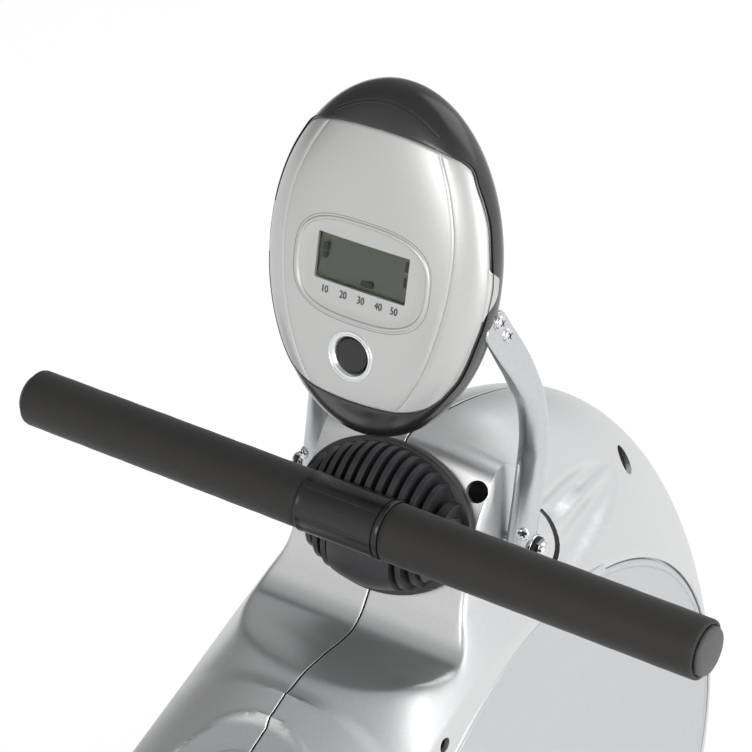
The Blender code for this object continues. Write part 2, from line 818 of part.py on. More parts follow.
def widened(outline, distance):
    """A closed outline, anticlockwise, moved outwards by distance."""
    result = []
    for i, here in enumerate(outline):
        before = outline[i - 1]
        after = outline[(i + 1) % len(outline)]
        first = (here - before).normalized()
        second = (after - here).normalized()
        out = Vector((first.y + second.y, -first.x - second.x)).normalized()
        result.append(here + out * distance / max(0.5, out.dot(Vector((first.y, -first.x)))))
    return result


def silver_zone(clearance):
    """The part of the egg that the silver front takes: between its caps and ahead of its side edge."""
    half_a = CONSOLE_WIDTH / 2
    half_b = CONSOLE_HEIGHT / 2
    right = [Vector((a * half_a, b * half_b)) for a, b in SILVER_EDGE]
    left = [Vector((-p.x, p.y)) for p in reversed(right[1:-1])]
    outline = widened(right + left, clearance)
    edge = -CONSOLE_EDGE + 0.004 - clearance
    return raised(outline, edge, 0.050)


def on_console(x, up, out):
    """A point of the console's own frame in the machine's frame."""
    turn = Matrix.Rotation(CONSOLE_TILT, 3, "X")
    return Vector((0, CONSOLE_Y, CONSOLE_Z)) + turn @ Vector((x, up, out))


def make_console_shells():
    place = (0, CONSOLE_Y, CONSOLE_Z)
    hollow = helper("console_hollow", console_body(-CONSOLE_WALL), place, CONSOLE_TILT)
    front = add_object("console_front_shell", console_body(0.0), silver_paint(), place, CONSOLE_TILT)
    zone = helper("silver_zone", silver_zone(0.0), place, CONSOLE_TILT)
    boolean(front, zone, "INTERSECT")
    bezel = rounded_outline(DISPLAY_WIDTH / 2, DISPLAY_HEIGHT / 2, 0.001, 1)
    window = raised(bezel, -0.020, 0.020)
    window_hole = helper("display_hole", window, place, CONSOLE_TILT)
    button_hole = helper("button_hole", rod(BUTTON_DIAMETER / 2 + 2 * GAP, -0.020, 0.020, 24, "Z"),
                         on_console(0, -BUTTON_DROP, 0), CONSOLE_TILT)
    cut(front, hollow, window_hole, button_hole)
    back = add_object("console_back_shell", console_body(0.0), black_plastic(), place, CONSOLE_TILT)
    wide_zone = helper("silver_clearance", silver_zone(GAP), place, CONSOLE_TILT)
    door = helper("battery_opening", battery_door(GAP, 0.030), place, CONSOLE_TILT)
    cut(back, wide_zone, hollow, door)


def battery_door(clearance, depth):
    half_a = 0.019 + clearance
    half_b = 0.028 + clearance
    outline = rounded_outline(half_a, half_b, 0.004, 2)
    back = -CONSOLE_EDGE - CONSOLE_BACK
    return raised(outline, back - 0.002, back + depth)


def make_console_parts():
    place = (0, CONSOLE_Y, CONSOLE_Z)
    half_a = DISPLAY_WIDTH / 2
    half_b = DISPLAY_HEIGHT / 2
    lens = rounded_outline(half_a + 0.004, half_b + 0.004, 0.002, 2)
    lens_top = -CONSOLE_EDGE + CONSOLE_FRONT - CONSOLE_WALL - 0.0032
    add_object("lcd_window", raised(lens, lens_top - 0.0012, lens_top),
               finish("clear_window", (0.75, 0.78, 0.76), 0.08), place, CONSOLE_TILT)
    panel_top = lens_top - 0.0012 - GAP
    panel = rounded_outline(half_a + 0.003, half_b + 0.003, 0.001, 1)
    add_object("lcd_panel", raised(panel, panel_top - 0.0028, panel_top),
               finish("lcd_grey", (0.16, 0.18, 0.15), 0.3), place, CONSOLE_TILT)
    board_top = panel_top - 0.0028 - GAP
    board = [(a, b - 0.018) for a, b in rounded_outline(0.038, 0.044, 0.004, 2)]
    add_object("console_board", raised(board, board_top - 0.0016, board_top),
               finish("circuit_board", (0.02, 0.16, 0.07), 0.5), place, CONSOLE_TILT)
    button_top = -0.0005
    stem_end = board_top + BUTTON_TRAVEL + GAP
    radius = BUTTON_DIAMETER / 2
    flange = lens_top - 0.0005
    profile = [(0, stem_end), (0.004, stem_end), (0.004, flange - 0.0015), (radius + 0.002, flange - 0.0015)]
    profile += [(radius + 0.002, flange), (radius, flange), (radius, button_top - 0.001),
                (radius - 0.001, button_top)]
    profile += [(0.004, button_top - 0.0012), (0, button_top - 0.0015)]
    add_object("console_button", turned(profile, 20, "Z"), black_plastic(), on_console(0, -BUTTON_DROP, 0),
               CONSOLE_TILT)
    door_shape = battery_door(0.0, 0.0045)
    add_object("battery_cover", door_shape, black_plastic(), place, CONSOLE_TILT)


# Bracket arms

def arm_path():
    """Middle line of the right arm, from its foot beside the pedestal to its flattened end on the console."""
    return [
        Vector((0.6360, 0.4840)), Vector((0.6375, 0.4940)), Vector((0.6397, 0.5060)),
        Vector((0.6424, 0.5200)), Vector((0.6443, 0.5317)), Vector((0.6462, 0.5429)),
        Vector((0.6477, 0.5542)), Vector((0.6473, 0.5666)), Vector((0.6456, 0.5775)),
        Vector((0.6418, 0.5894)), Vector((0.6343, 0.6031)), Vector((0.6240, 0.6201)),
        Vector((0.6123, 0.6368)), Vector((0.6003, 0.6542)), Vector((0.5913, 0.6673)),
    ]


def bolt_place():
    return (0, 0.6380, 0.4925)


def arm_shape(side):
    path = arm_path()
    count = len(path)
    rings = []
    round_half = ARM_DIAMETER / 2
    for i, here in enumerate(path):
        before = path[max(0, i - 1)]
        after = path[min(count - 1, i + 1)]
        along = (after - before).normalized()
        normal = Vector((-along.y, along.x))
        flat = ease(9.0, 12.9, i)
        half_x = round_half + (ARM_FLAT - round_half) * flat
        half_n = round_half + 0.0018 * ease(8, 12, i)
        if i == count - 1:
            half_n *= 0.72
        middle = ARM_X + (CONSOLE_WIDTH / 2 + GAP + ARM_FLAT - ARM_X) * flat
        ring = []
        for step in range(12):
            angle = 2 * math.pi * step / 12
            ring.append(Vector((side * (middle + half_x * math.cos(angle)),
                                here.x + normal.x * half_n * math.sin(angle),
                                here.y + normal.y * half_n * math.sin(angle))))
        rings.append(ring)
    return skin(rings)


def make_arms():
    inner = BEAM_WIDTH / 2 + 2 * GAP
    outer = ARM_X + ARM_DIAMETER / 2
    shank = BOLT_DIAMETER / 2
    for word, side in (("right", 1), ("left", -1)):
        arm = add_object("console_arm_" + word, arm_shape(side), frame_paint())
        low, high = sorted((side * 0.05, side * 0.10))
        hole = helper("arm_hole_" + word, rod(shank + GAP, low, high, 14), bolt_place())
        cut(arm, hole)
        profile = [(0, inner), (shank, inner), (shank, outer + GAP), (0.0085, outer + GAP),
                   (0.0085, outer + 0.0014)]
        profile += [(0.0062, outer + 0.0014), (0.0062, outer + 0.0045), (0.0035, outer + 0.0070),
                    (0, outer + 0.0075)]
        bolt = turned([(radius, side * height) for radius, height in profile], 12)
        add_object("arm_bolt_" + word, bolt, steel(), bolt_place())


def lead_hole_place():
    return (HALF - 0.0075, 0.6560, 0.4360)


def lead_route():
    """The console's lead, from the back of the right arm down into the housing."""
    stations = [
        (-0.0075, 0.6545, 0.5060), (-0.0045, 0.6585, 0.4990), (-0.0015, 0.6610, 0.4900),
        (0.0000, 0.6625, 0.4800), (-0.0005, 0.6620, 0.4710), (-0.0030, 0.6600, 0.4630),
        (-0.0060, 0.6570, 0.4560), (-0.0075, 0.6560, 0.4490), (-0.0075, 0.6560, 0.4410),
    ]
    return [(HALF + x, y, z) for x, y, z in stations]


def curve_tube(name, points, radius, material, sides=2):
    """A round lead or cable along points, with closed ends."""
    curve = bpy.data.curves.new(name, "CURVE")
    curve.dimensions = "3D"
    curve.bevel_depth = radius
    curve.bevel_resolution = sides
    curve.use_fill_caps = True
    line = curve.splines.new("POLY")
    line.points.add(len(points) - 1)
    for point, place in zip(line.points, points):
        point.co = (*place, 1.0)
    curve.materials.append(material)
    obj = bpy.data.objects.new(name, curve)
    bpy.context.scene.collection.objects.link(obj)
    return obj


def make_cables():
    curve_tube("computer_cable", lead_route(), 0.0014, black_plastic())
    curve_tube("tension_cable", smooth_path(tension_route(), 3), 0.0018, black_plastic())


# Resistance knob, magnets and drive

def ring_place():
    """Middle of the knob's seat on the tail, and the tail's slope there."""
    slope = math.atan((SEAM_PROFILE[4][1] - SEAM_PROFILE[3][1]) / (SEAM_PROFILE[4][0] - SEAM_PROFILE[3][0]))
    return Vector((0, KNOB_RING_Y, between(SEAM_PROFILE, KNOB_RING_Y))), slope


def tension_route():
    place, slope = ring_place()
    down = Vector((0, math.sin(slope), -math.cos(slope)))
    start = place + down * 0.029
    end = yoke_pivot() + Vector((0, 0.018, 0.004))
    return [
        tuple(start), tuple(start + down * 0.015), (-0.045, 0.4800, 0.3300), (-0.050, 0.5600, 0.3100),
        (-0.050, 0.6600, 0.3700), (-0.040, 0.7500, 0.4000), (-0.018, end.y - 0.01, end.z + 0.010), tuple(end),
    ]


def yoke_pivot():
    reach = FLYWHEEL_RADIUS + 0.012
    angle = math.radians(74)
    return FLYWHEEL + reach * Vector((0, math.cos(angle), math.sin(angle)))


def make_tension_knob():
    place, slope = ring_place()
    radius = 0.021
    outline = []
    for i in range(28):
        angle = 2 * math.pi * i / 28
        grip = radius - 0.0016 * (0.5 - 0.5 * math.cos(7 * angle))
        outline.append((grip * math.cos(angle), grip * math.sin(angle)))
    rings = []
    for scale, height in ((0.92, 0.0012), (1.0, 0.003), (1.0, 0.012), (0.90, 0.015)):
        rings.append([Vector((a * scale, b * scale, height)) for a, b in outline])
    knob = add_object("tension_knob", skin(rings), black_plastic(), place, slope)
    shaft = helper("knob_shaft", rod(0.004, -0.024, 0.006, 14, "Z"), place, slope)
    fuse(knob, shaft)


def make_yoke():
    """A curved magnet carrier round the flywheel's rim, hinged at its upper end."""
    inner = FLYWHEEL_RADIUS + 0.004
    outer = inner + 0.010
    half = FLYWHEEL_WIDTH / 2 + 0.006
    middle = -0.003
    centre = (FLYWHEEL_Y, FLYWHEEL_Z)
    outline = arc(centre, inner, 70, -12, 10) + arc(centre, outer, -12, 70, 10)
    pivot = yoke_pivot()
    outline = [(y - pivot.y, z - pivot.z) for y, z in outline]
    yoke = add_object("magnet_yoke", slab(outline, middle - half, middle + half), cast_iron(), pivot)
    boss = helper("yoke_boss", rod(0.010, middle - half, middle + half, 16), pivot)
    pin = helper("yoke_pin", rod(0.003, -BEAM_WIDTH / 2 - PLATE_THICKNESS - 0.002,
                                 BEAM_WIDTH / 2 + PLATE_THICKNESS + 0.002, 12), pivot)
    fuse(yoke, boss, pin)


def make_flywheel():
    rim = FLYWHEEL_RADIUS
    low = -0.003 - FLYWHEEL_WIDTH / 2
    high = low + FLYWHEEL_WIDTH
    bore = AXLE_DIAMETER / 2 + GAP
    half_belt = BELT_WIDTH / 2 + 0.0004
    seat = HUB_PULLEY_RADIUS
    flange = seat + 0.0035
    profile = [
        (bore, low), (0.020, low), (0.020, -0.007), (rim - 0.020, -0.007), (rim - 0.020, low),
        (rim, low), (rim, high), (rim - 0.020, high), (rim - 0.020, 0.001), (0.018, 0.001),
        (0.018, BELT_X - half_belt - 0.0015), (flange, BELT_X - half_belt - 0.0015),
        (seat, BELT_X - half_belt),
        (seat, BELT_X + half_belt), (flange, BELT_X + half_belt + 0.0015),
        (bore, BELT_X + half_belt + 0.0015),
    ]
    add_object("flywheel", turned(profile, 32), cast_iron(), FLYWHEEL)
    reach = BEAM_WIDTH / 2 + PLATE_THICKNESS + 0.008
    add_object("flywheel_axle", rod(AXLE_DIAMETER / 2, -reach, reach, 16, edge=0.001), steel(), FLYWHEEL)


def make_drive():
    bore = DRIVE_AXLE_DIAMETER / 2 + GAP
    half_belt = BELT_WIDTH / 2 + 0.0004
    low = BELT_X - half_belt
    high = BELT_X + half_belt
    seat = PULLEY_RADIUS
    flange = seat + 0.003
    web = seat - 0.010
    profile = [
        (bore, low - 0.001), (0.018, low - 0.001), (0.018, low + 0.002), (web, low + 0.002),
        (web, low - 0.0012),
        (flange, low - 0.0012), (seat, low), (seat, high), (flange, high + 0.0012), (web, high + 0.0012),
        (web, high - 0.002), (bore, high - 0.002),
    ]
    add_object("drive_pulley", turned(profile, 32), black_plastic(), DRIVE_AXLE)
    half = STRAP_WIDTH / 2 + 0.001
    cheek = half + 0.002
    drum = [(bore, -cheek), (DRUM_FLANGE, -cheek), (DRUM_FLANGE, -half), (DRUM_RADIUS, -half)]
    drum += [(radius, -height) for radius, height in reversed(drum)]
    add_object("strap_drum", turned(drum, 24), black_plastic(), DRIVE_AXLE)
    reach = BEAM_WIDTH / 2 + PLATE_THICKNESS + 0.008
    add_object("drive_axle", rod(DRIVE_AXLE_DIAMETER / 2, -reach, reach, 16, edge=0.001), steel(), DRIVE_AXLE)


def make_belt():
    """A flat belt round the drive pulley and the flywheel's hub."""
    big = PULLEY_RADIUS + 2 * GAP + BELT_THICKNESS / 2
    small = HUB_PULLEY_RADIUS + GAP + BELT_THICKNESS / 2
    line = DRIVE_AXLE - FLYWHEEL
    bearing = math.degrees(math.atan2(line.z, line.y))
    swing = math.degrees(math.acos((big - small) / line.length))
    path = arc(tuple(DRIVE_AXLE.yz), big, bearing - (180 - swing), bearing + (180 - swing), 24)
    path += arc(tuple(FLYWHEEL.yz), small, bearing + (180 - swing), bearing + 360 - (180 - swing), 10)
    half_w = BELT_WIDTH / 2
    half_t = BELT_THICKNESS / 2
    outline = [(BELT_X - half_w, -half_t), (BELT_X + half_w, -half_t), (BELT_X + half_w, half_t),
               (BELT_X - half_w, half_t)]
    add_object("drive_belt", bead(outline, path, closed=True), rubber())


def make_recoil_spring():
    """A flat spring wound beside the drum, from a hook on the axle to a hook on the side plate."""
    turns = 3
    steps = 12
    inner = DRIVE_AXLE_DIAMETER / 2 + 0.002
    pitch = 0.0052
    path = []
    for i in range(turns * steps + 1):
        angle = 2 * math.pi * i / steps
        radius = inner + pitch * i / steps
        path.append((radius * math.cos(angle), radius * math.sin(angle)))
    low = -BEAM_WIDTH / 2 + 0.003
    high = -STRAP_WIDTH / 2 - 0.006
    half_t = 0.0006
    outline = [(low, -half_t), (high, -half_t), (high, half_t), (low, half_t)]
    add_object("recoil_spring", bead(outline, path), steel(), DRIVE_AXLE)


# Frame

def beam_section(half_a, half_b):
    return [(-half_a, -half_b), (half_a, -half_b), (half_a, half_b), (-half_a, half_b)]


def make_main_frame():
    half_a = BEAM_WIDTH / 2
    half_b = BEAM_HEIGHT / 2
    path = [(0.815, BASE_BEAM_Z), (0.560, BASE_BEAM_Z), (0.470, BEAM_Z), (HINGE_Y + 0.065, BEAM_Z)]
    beam = hollow_bead(beam_section(half_a, half_b), beam_section(half_a - TUBE_WALL, half_b - TUBE_WALL),
                       path)
    frame = add_object("main_frame", beam, frame_paint())
    ear = arc((HINGE_Y, BEAM_Z), 0.028, 300, 120, 8)
    ear += [(HINGE_Y - 0.014, BEAM_Z + 0.030), (HINGE_Y + 0.010, BEAM_Z + 0.034),
            (HINGE_Y + 0.145, BEAM_Z + 0.018)]
    ear += [(HINGE_Y + 0.145, BEAM_Z - 0.018), (HINGE_Y + 0.060, BEAM_Z - 0.024)]
    ears = []
    for side in (1, -1):
        low, high = sorted((side * (half_a - 0.001), side * (half_a + PLATE_THICKNESS)))
        ears.append(helper("hinge_ear", slab(ear, low, high)))
    leg_y = HINGE_Y + 0.105
    leg = helper("middle_leg", box(-0.018, 0.018, leg_y - 0.020, leg_y + 0.020, STABILIZER_Z,
                                   BEAM_Z - half_b + 0.0015))
    round_end = [(0, -0.140), (STABILIZER_Z - 0.004, -0.140), (STABILIZER_Z, -0.136)]
    round_end += [(radius, -height) for radius, height in reversed(round_end)]
    foot = helper("middle_foot", turned(round_end, 20, flats=True), (0, leg_y, STABILIZER_Z))
    fuse(frame, *ears, leg, foot)
    pin = helper("frame_pin_hole", rod(HINGE_PIN_DIAMETER / 2 + GAP, -0.1, 0.1, 18), HINGE)
    axle = helper("frame_axle_hole", rod(PEDAL_AXLE_DIAMETER / 2 + GAP, -0.1, 0.1, 18),
                  (0, PEDAL_AXLE_Y, BEAM_Z))
    clamp = helper("frame_clamp_hole", rod(0.004 + GAP, 0.01, 0.1, 12), lock_place())
    cut(frame, pin, axle, clamp)


def side_plate_outline():
    guide = guide_centre()
    bolt = Vector(bolt_place())
    pivot = yoke_pivot()
    return [
        (0.545, 0.060), (0.770, 0.060), (0.775, 0.100), (0.748, 0.150), (FLYWHEEL_Y + 0.026, FLYWHEEL_Z),
        (FLYWHEEL_Y + 0.045, FLYWHEEL_Z + 0.070), (pivot.y + 0.014, pivot.z), (pivot.y, pivot.z + 0.014),
        (pivot.y - 0.014, pivot.z), (FLYWHEEL_Y + 0.010, FLYWHEEL_Z + 0.050),
        (FLYWHEEL_Y - 0.035, FLYWHEEL_Z + 0.045),
        (0.672, 0.340), (guide.y + 0.018, guide.z - 0.010), (guide.y + 0.014, guide.z + 0.012),
        (guide.y, guide.z + 0.015), (bolt.y - 0.013, bolt.z + 0.012), (bolt.y - 0.013, bolt.z - 0.012),
        (0.606, 0.400), (DRIVE_AXLE.y - 0.045, DRIVE_AXLE.z + 0.030), (0.450, BEAM_Z + 0.022),
        (0.450, BEAM_Z - 0.022),
        (0.510, 0.140),
    ]


def make_side_plates():
    guide = guide_centre()
    for word, side in (("right", 1), ("left", -1)):
        start = BEAM_WIDTH / 2 + GAP
        low, high = sorted((side * start, side * (start + PLATE_THICKNESS)))
        plate = add_object(word + "_side_plate", slab(side_plate_outline(), low, high), frame_paint())
        low, high = sorted((side * 0.02, side * 0.06))
        for tag, radius, place in (
            ("flywheel", AXLE_DIAMETER / 2, FLYWHEEL), ("drive", DRIVE_AXLE_DIAMETER / 2, DRIVE_AXLE),
            ("guide", 0.003, guide), ("yoke", 0.003, yoke_pivot()), ("bolt", BOLT_DIAMETER / 2, bolt_place()),
        ):
            cut(plate, helper("%s_%s_hole" % (word, tag), rod(radius + GAP, low, high, 12), place))


def make_stabilizers():
    half = FRONT_STABILIZER_LENGTH / 2
    radius = STABILIZER_DIAMETER / 2
    place = (0, FRONT_STABILIZER_Y, STABILIZER_Z)
    front = add_object("front_stabilizer", pipe(radius, radius - TUBE_WALL, -half, half, 20), frame_paint(),
                       place)
    lugs = []
    wheel_gap = WHEEL_WIDTH / 2 + 0.0008
    for side in (1, -1):
        for way in (1, -1):
            x = side * WHEEL_X + way * (wheel_gap + 0.002)
            start = FRONT_STABILIZER_Y + radius - 0.002
            lugs.append(helper("wheel_lug", box(x - 0.002, x + 0.002, start, WHEEL_AXLE_Y + 0.010, 0.018,
                                                0.042)))
    fuse(front, *lugs)
    bore = helper("wheel_axle_bore", rod(0.004 + GAP, -0.3, 0.3, 12), (0, WHEEL_AXLE_Y, STABILIZER_Z - 0.002))
    cut(front, bore)
    for word, side in (("right", 1), ("left", -1)):
        make_end_cap("front_end_cap_" + word, side, half, place)
        make_transport_wheel("transport_wheel_" + word, side)


def make_end_cap(name, side, tube_end, place):
    """A rubber cup over the end of a cross tube, on which the machine stands."""
    radius = STABILIZER_Z
    fit = STABILIZER_DIAMETER / 2 + GAP
    inner = tube_end - END_CAP_LENGTH
    outer = tube_end + 0.010
    floor = tube_end + GAP
    profile = [(fit, inner), (radius, inner), (radius, outer - 0.006), (radius - 0.006, outer)]
    profile += [(0, outer), (0, floor), (fit, floor)]
    add_object(name, turned([(r, side * h) for r, h in profile], 20, flats=True), rubber(), place)


def make_transport_wheel(name, side):
    half = WHEEL_WIDTH / 2
    pin = 0.004
    end = half + 0.007
    profile = [(0, -end), (pin, -end), (pin, -half), (WHEEL_RADIUS - 0.002, -half),
               (WHEEL_RADIUS, -half + 0.002)]
    profile += [(radius, -height) for radius, height in reversed(profile)]
    add_object(name, turned(profile, 20), rubber(), (side * WHEEL_X, WHEEL_AXLE_Y, STABILIZER_Z - 0.002))


# Rail, seat and footplates

def lock_place():
    return (0, HINGE_Y + 0.004, BEAM_Z + 0.022)


def make_rail():
    half_a = RAIL_WIDTH / 2
    half_b = RAIL_HEIGHT / 2
    back = RAIL_FRONT_Y - RAIL_LENGTH
    path = [(RAIL_FRONT_Y, BEAM_Z), (back, BEAM_Z)]
    rail = add_object("rail", hollow_bead(rail_section(half_a, half_b, 0.0),
                                          rail_section(half_a, half_b, 0.0025), path),
                      finish("rail_aluminium", (0.66, 0.67, 0.68), 0.35, 0.8))
    plug = helper("rail_plug", box(-half_a + 0.001, half_a - 0.001, back, back + 0.004,
                                   BEAM_Z - half_b + 0.001, BEAM_Z + half_b - 0.001))
    fuse(rail, plug)
    cut(rail, helper("rail_pin_hole", rod(HINGE_PIN_DIAMETER / 2 + GAP, -0.1, 0.1, 18), HINGE))


def rail_section(half_a, half_b, wall):
    """Rail section with a shallow track along the middle of each side."""
    a = half_a - wall
    b = half_b - wall
    track = 0.010
    depth = 0.003
    right = [(a, -b), (a, -track), (a - depth, -track + 0.003), (a - depth, track - 0.003), (a, track),
             (a, b)]
    left = [(-x, -n) for x, n in right]
    return right + left


def make_hinge():
    reach = BEAM_WIDTH / 2 + PLATE_THICKNESS
    radius = HINGE_PIN_DIAMETER / 2
    profile = [(0, -reach - 0.006), (0.009, -reach - 0.006), (0.009, -reach - GAP), (radius, -reach - GAP)]
    profile += [(radius, reach + 0.008), (0, reach + 0.008)]
    add_object("hinge_pin", turned(profile, 18), steel(), HINGE)
    tip = RAIL_WIDTH / 2 + 2 * GAP
    outer = reach + 0.004
    outline = [(0.004, tip), (0.004, outer), (0.012, outer), (0.022, outer + 0.010), (0.022, outer + 0.022),
               (0.016, outer + 0.026)]
    shape = turned([(0, tip)] + outline + [(0, outer + 0.026)], 20)
    add_object("rail_lock_knob", shape, black_plastic(), lock_place())


def make_rear_leg():
    half_b = RAIL_HEIGHT / 2
    top = BEAM_Z - half_b - GAP
    post = box(-0.015, 0.015, LEG_Y - 0.025, LEG_Y + 0.025, STABILIZER_Z, top - 0.003)
    leg = add_object("rear_leg", post, frame_paint())
    saddle = helper("leg_saddle", box(-0.021, 0.021, LEG_Y - 0.035, LEG_Y + 0.035, top - 0.005, top))
    half = REAR_STABILIZER_LENGTH / 2
    tube = helper("rear_tube", rod(STABILIZER_DIAMETER / 2, -half, half, 20), (0, LEG_Y, STABILIZER_Z))
    fuse(leg, saddle, tube)
    for word, side in (("right", 1), ("left", -1)):
        make_end_cap("rear_end_cap_" + word, side, half, (0, LEG_Y, STABILIZER_Z))


def upper_roller_height():
    return RAIL_HEIGHT / 2 + SEAT_ROLLER_RADIUS + GAP


def make_seat():
    top_z = BEAM_Z + upper_roller_height() + SEAT_ROLLER_RADIUS + 0.003
    wall = CARRIAGE_WALL
    inner = RAIL_WIDTH / 2 + 0.004
    outer = inner + wall
    half_l = SEAT_ROLLER_SPREAD + 0.030
    low = BEAM_Z - RAIL_HEIGHT / 2 - LOWER_ROLLER_RADIUS - 0.012
    outline = [(-outer, low), (-inner, low), (-inner, top_z), (inner, top_z), (inner, low), (outer, low),
               (outer, top_z + wall), (-outer, top_z + wall)]
    rings = [[Vector((x, SEAT_Y + y, z)) for x, z in outline] for y in (-half_l, half_l)]
    carriage = add_object("seat_carriage", skin(rings), frame_paint())
    trim_z = BEAM_Z - 0.012
    for side in (1, -1):
        for sign in (1, -1):
            y0, y1 = sorted((SEAT_Y + sign * 0.022, SEAT_Y + sign * (half_l + 0.01)))
            x0, x1 = sorted((side * (inner - 0.002), side * (outer + 0.002)))
            cut(carriage, helper("carriage_window", box(x0, x1, y0, y1, low - 0.01, trim_z)))
    for tag, (y, z) in roller_places().items():
        cut(carriage, helper("carriage_hole_" + tag, rod(0.004 + GAP, -0.06, 0.06, 12), (0, y, z)))
    flare = helper("seat_plate", box(-0.055, 0.055, SEAT_Y - half_l, SEAT_Y + half_l, top_z + 0.001,
                                     top_z + wall))
    fuse(carriage, flare)
    make_seat_rollers(outer)
    make_seat_pad(top_z + wall + GAP)


def roller_places():
    upper = BEAM_Z + upper_roller_height()
    lower = BEAM_Z - RAIL_HEIGHT / 2 - LOWER_ROLLER_RADIUS - GAP
    return {
        "front": (SEAT_Y + SEAT_ROLLER_SPREAD, upper),
        "rear": (SEAT_Y - SEAT_ROLLER_SPREAD, upper),
        "lower": (SEAT_Y, lower),
    }


def make_seat_rollers(end):
    for tag, (y, z) in roller_places().items():
        radius = LOWER_ROLLER_RADIUS if tag == "lower" else SEAT_ROLLER_RADIUS
        half = RAIL_WIDTH / 2 + 0.002
        pin = 0.004
        profile = [(0, -end - 0.003), (pin, -end - 0.003), (pin, -half), (radius, -half)]
        profile += [(r, -h) for r, h in reversed(profile)]
        add_object("%s_seat_roller" % tag, turned(profile, 16), rubber(), (0, y, z))


def make_seat_pad(bottom):
    """A seat cushion with a crowned top, a hollow for the legs at the front and sides that draw in."""
    steps = 32
    half_a = SEAT_WIDTH / 2
    half_b = SEAT_LENGTH / 2
    levels = [(0.80, 0.0), (0.90, 0.02), (0.985, 0.20), (1.0, 0.42), (0.985, 0.62), (0.93, 0.80),
              (0.80, 0.92), (0.55, 0.985), (0.25, 1.0)]
    rings = []
    for scale, level in levels:
        ring = []
        for i in range(steps):
            angle = 2 * math.pi * i / steps
            power = 0.62
            c = math.cos(angle)
            s = math.sin(angle)
            x = half_a * scale * math.copysign(abs(c) ** power, c)
            y = half_b * scale * math.copysign(abs(s) ** power, s)
            if y > 0:
                x *= 1 - 0.22 * (y / half_b) ** 2
            dip = 0.008 * ease(0.3, 1.0, level) * math.exp(-(x / 0.05) ** 2)
            lift = 0.008 * ease(0.5, 1.0, level) * ease(0.02, 0.12, -y)
            ring.append(Vector((x, SEAT_Y + y, bottom + SEAT_THICKNESS * level - dip + lift)))
        rings.append(ring)
    add_object("seat_pad", skin(rings), finish("seat_vinyl", (0.03, 0.03, 0.032), 0.6))


def make_footplates():
    reach = FOOTPLATE_X + FOOTPLATE_WIDTH / 2 + 0.010
    radius = PEDAL_AXLE_DIAMETER / 2
    add_object("pedal_axle", rod(radius, -reach, reach, 18, edge=0.001), steel(), (0, PEDAL_AXLE_Y, BEAM_Z))
    for word, side in (("right", 1), ("left", -1)):
        make_footplate(word, side)
        make_foot_strap(word, side)


def make_footplate(word, side):
    half_a = FOOTPLATE_WIDTH / 2
    low = -0.110
    high = low + FOOTPLATE_LENGTH
    outline = arc((0, high - half_a * 0.8), half_a * 0.8, 0, 180, 8)
    outline = [(half_a, 0.0)] + [(a * 1.25, b) for a, b in outline] + [(-half_a, 0.0), (-half_a * 0.85, low),
                                                                       (half_a * 0.85, low)]
    out = FOOTPLATE_OFFSET
    plate = skin([[Vector((a, b, z)) for a, b in outline] for z in (out - FOOTPLATE_THICKNESS, out)])
    place = (side * FOOTPLATE_X, PEDAL_AXLE_Y, BEAM_Z)
    name = "footplate_" + word
    foot = add_object(name, plate, black_plastic(), place, PEDAL_TILT)
    inner = arc((0, low + 0.050), half_a * 0.80, 200, 340, 8)
    outer = arc((0, low + 0.050), half_a * 0.80 + 0.006, 340, 200, 8)
    cup = helper(name + "_heel", raised(inner + outer, out - 0.004, out + 0.035), place, PEDAL_TILT)
    hub = helper(name + "_hub", rod(PEDAL_AXLE_DIAMETER / 2 + 0.005, -0.040, 0.040, 20), place, PEDAL_TILT)
    web = helper(name + "_web", box(-0.038, 0.038, -0.006, 0.006, 0.0, out - 0.002), place, PEDAL_TILT)
    fuse(foot, cup, web, hub)
    ribs = []
    for i in range(5):
        y = -0.010 + i * 0.020
        ribs.append(box(-0.036, 0.036, y - 0.002, y + 0.002, out - 0.0012, out + 0.004))
    cut(foot, helper(name + "_grooves", joined(*ribs), place, PEDAL_TILT))
    cut(foot, helper(name + "_bore", rod(PEDAL_AXLE_DIAMETER / 2 + GAP, -0.08, 0.08, 20), place, PEDAL_TILT))


def make_foot_strap(word, side):
    """A webbing band arched over the foot, its ends turned down beside the plate."""
    half_a = FOOTPLATE_WIDTH / 2 + 0.0020
    out = FOOTPLATE_OFFSET
    height = FOOT_STRAP_HEIGHT
    line = [(-half_a, out - 0.012), (-half_a, out + 0.014), (-half_a * 0.86, out + 0.040),
            (-half_a * 0.56, out + 0.062)]
    line += [(-half_a * 0.2, out + height)]
    line += [(-a, b) for a, b in reversed(line)]
    middle = 0.045
    half_w = FOOT_STRAP_WIDTH / 2
    half_t = 0.0010
    outline = [(middle - half_w, -half_t), (middle + half_w, -half_t), (middle + half_w, half_t),
               (middle - half_w, half_t)]
    points, faces = bead(outline, line)
    points = [Vector((p.y, p.x, p.z)) for p in points]
    place = (side * FOOTPLATE_X, PEDAL_AXLE_Y, BEAM_Z)
    add_object("foot_strap_" + word, (points, faces), webbing(), place, PEDAL_TILT)


def build():
    clear_scene()
    make_housing_shells()
    make_side_covers()
    make_handle()
    make_handle_rest()
    make_straps()
    make_guide_roller()
    make_console_shells()
    make_console_parts()
    make_arms()
    make_cables()
    make_tension_knob()
    make_yoke()
    make_flywheel()
    make_drive()
    make_belt()
    make_recoil_spring()
    make_main_frame()
    make_side_plates()
    make_stabilizers()
    make_rail()
    make_hinge()
    make_rear_leg()
    make_seat()
    make_footplates()


build()
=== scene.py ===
"""Fine forms, finishes, stage and camera for the magnetic rowing machine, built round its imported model.

Metres, +Z up. The rower sits at -Y and faces +Y, and X is to the rower's right.
"""

import math

import bmesh
import bpy
from mathutils import Matrix, Vector


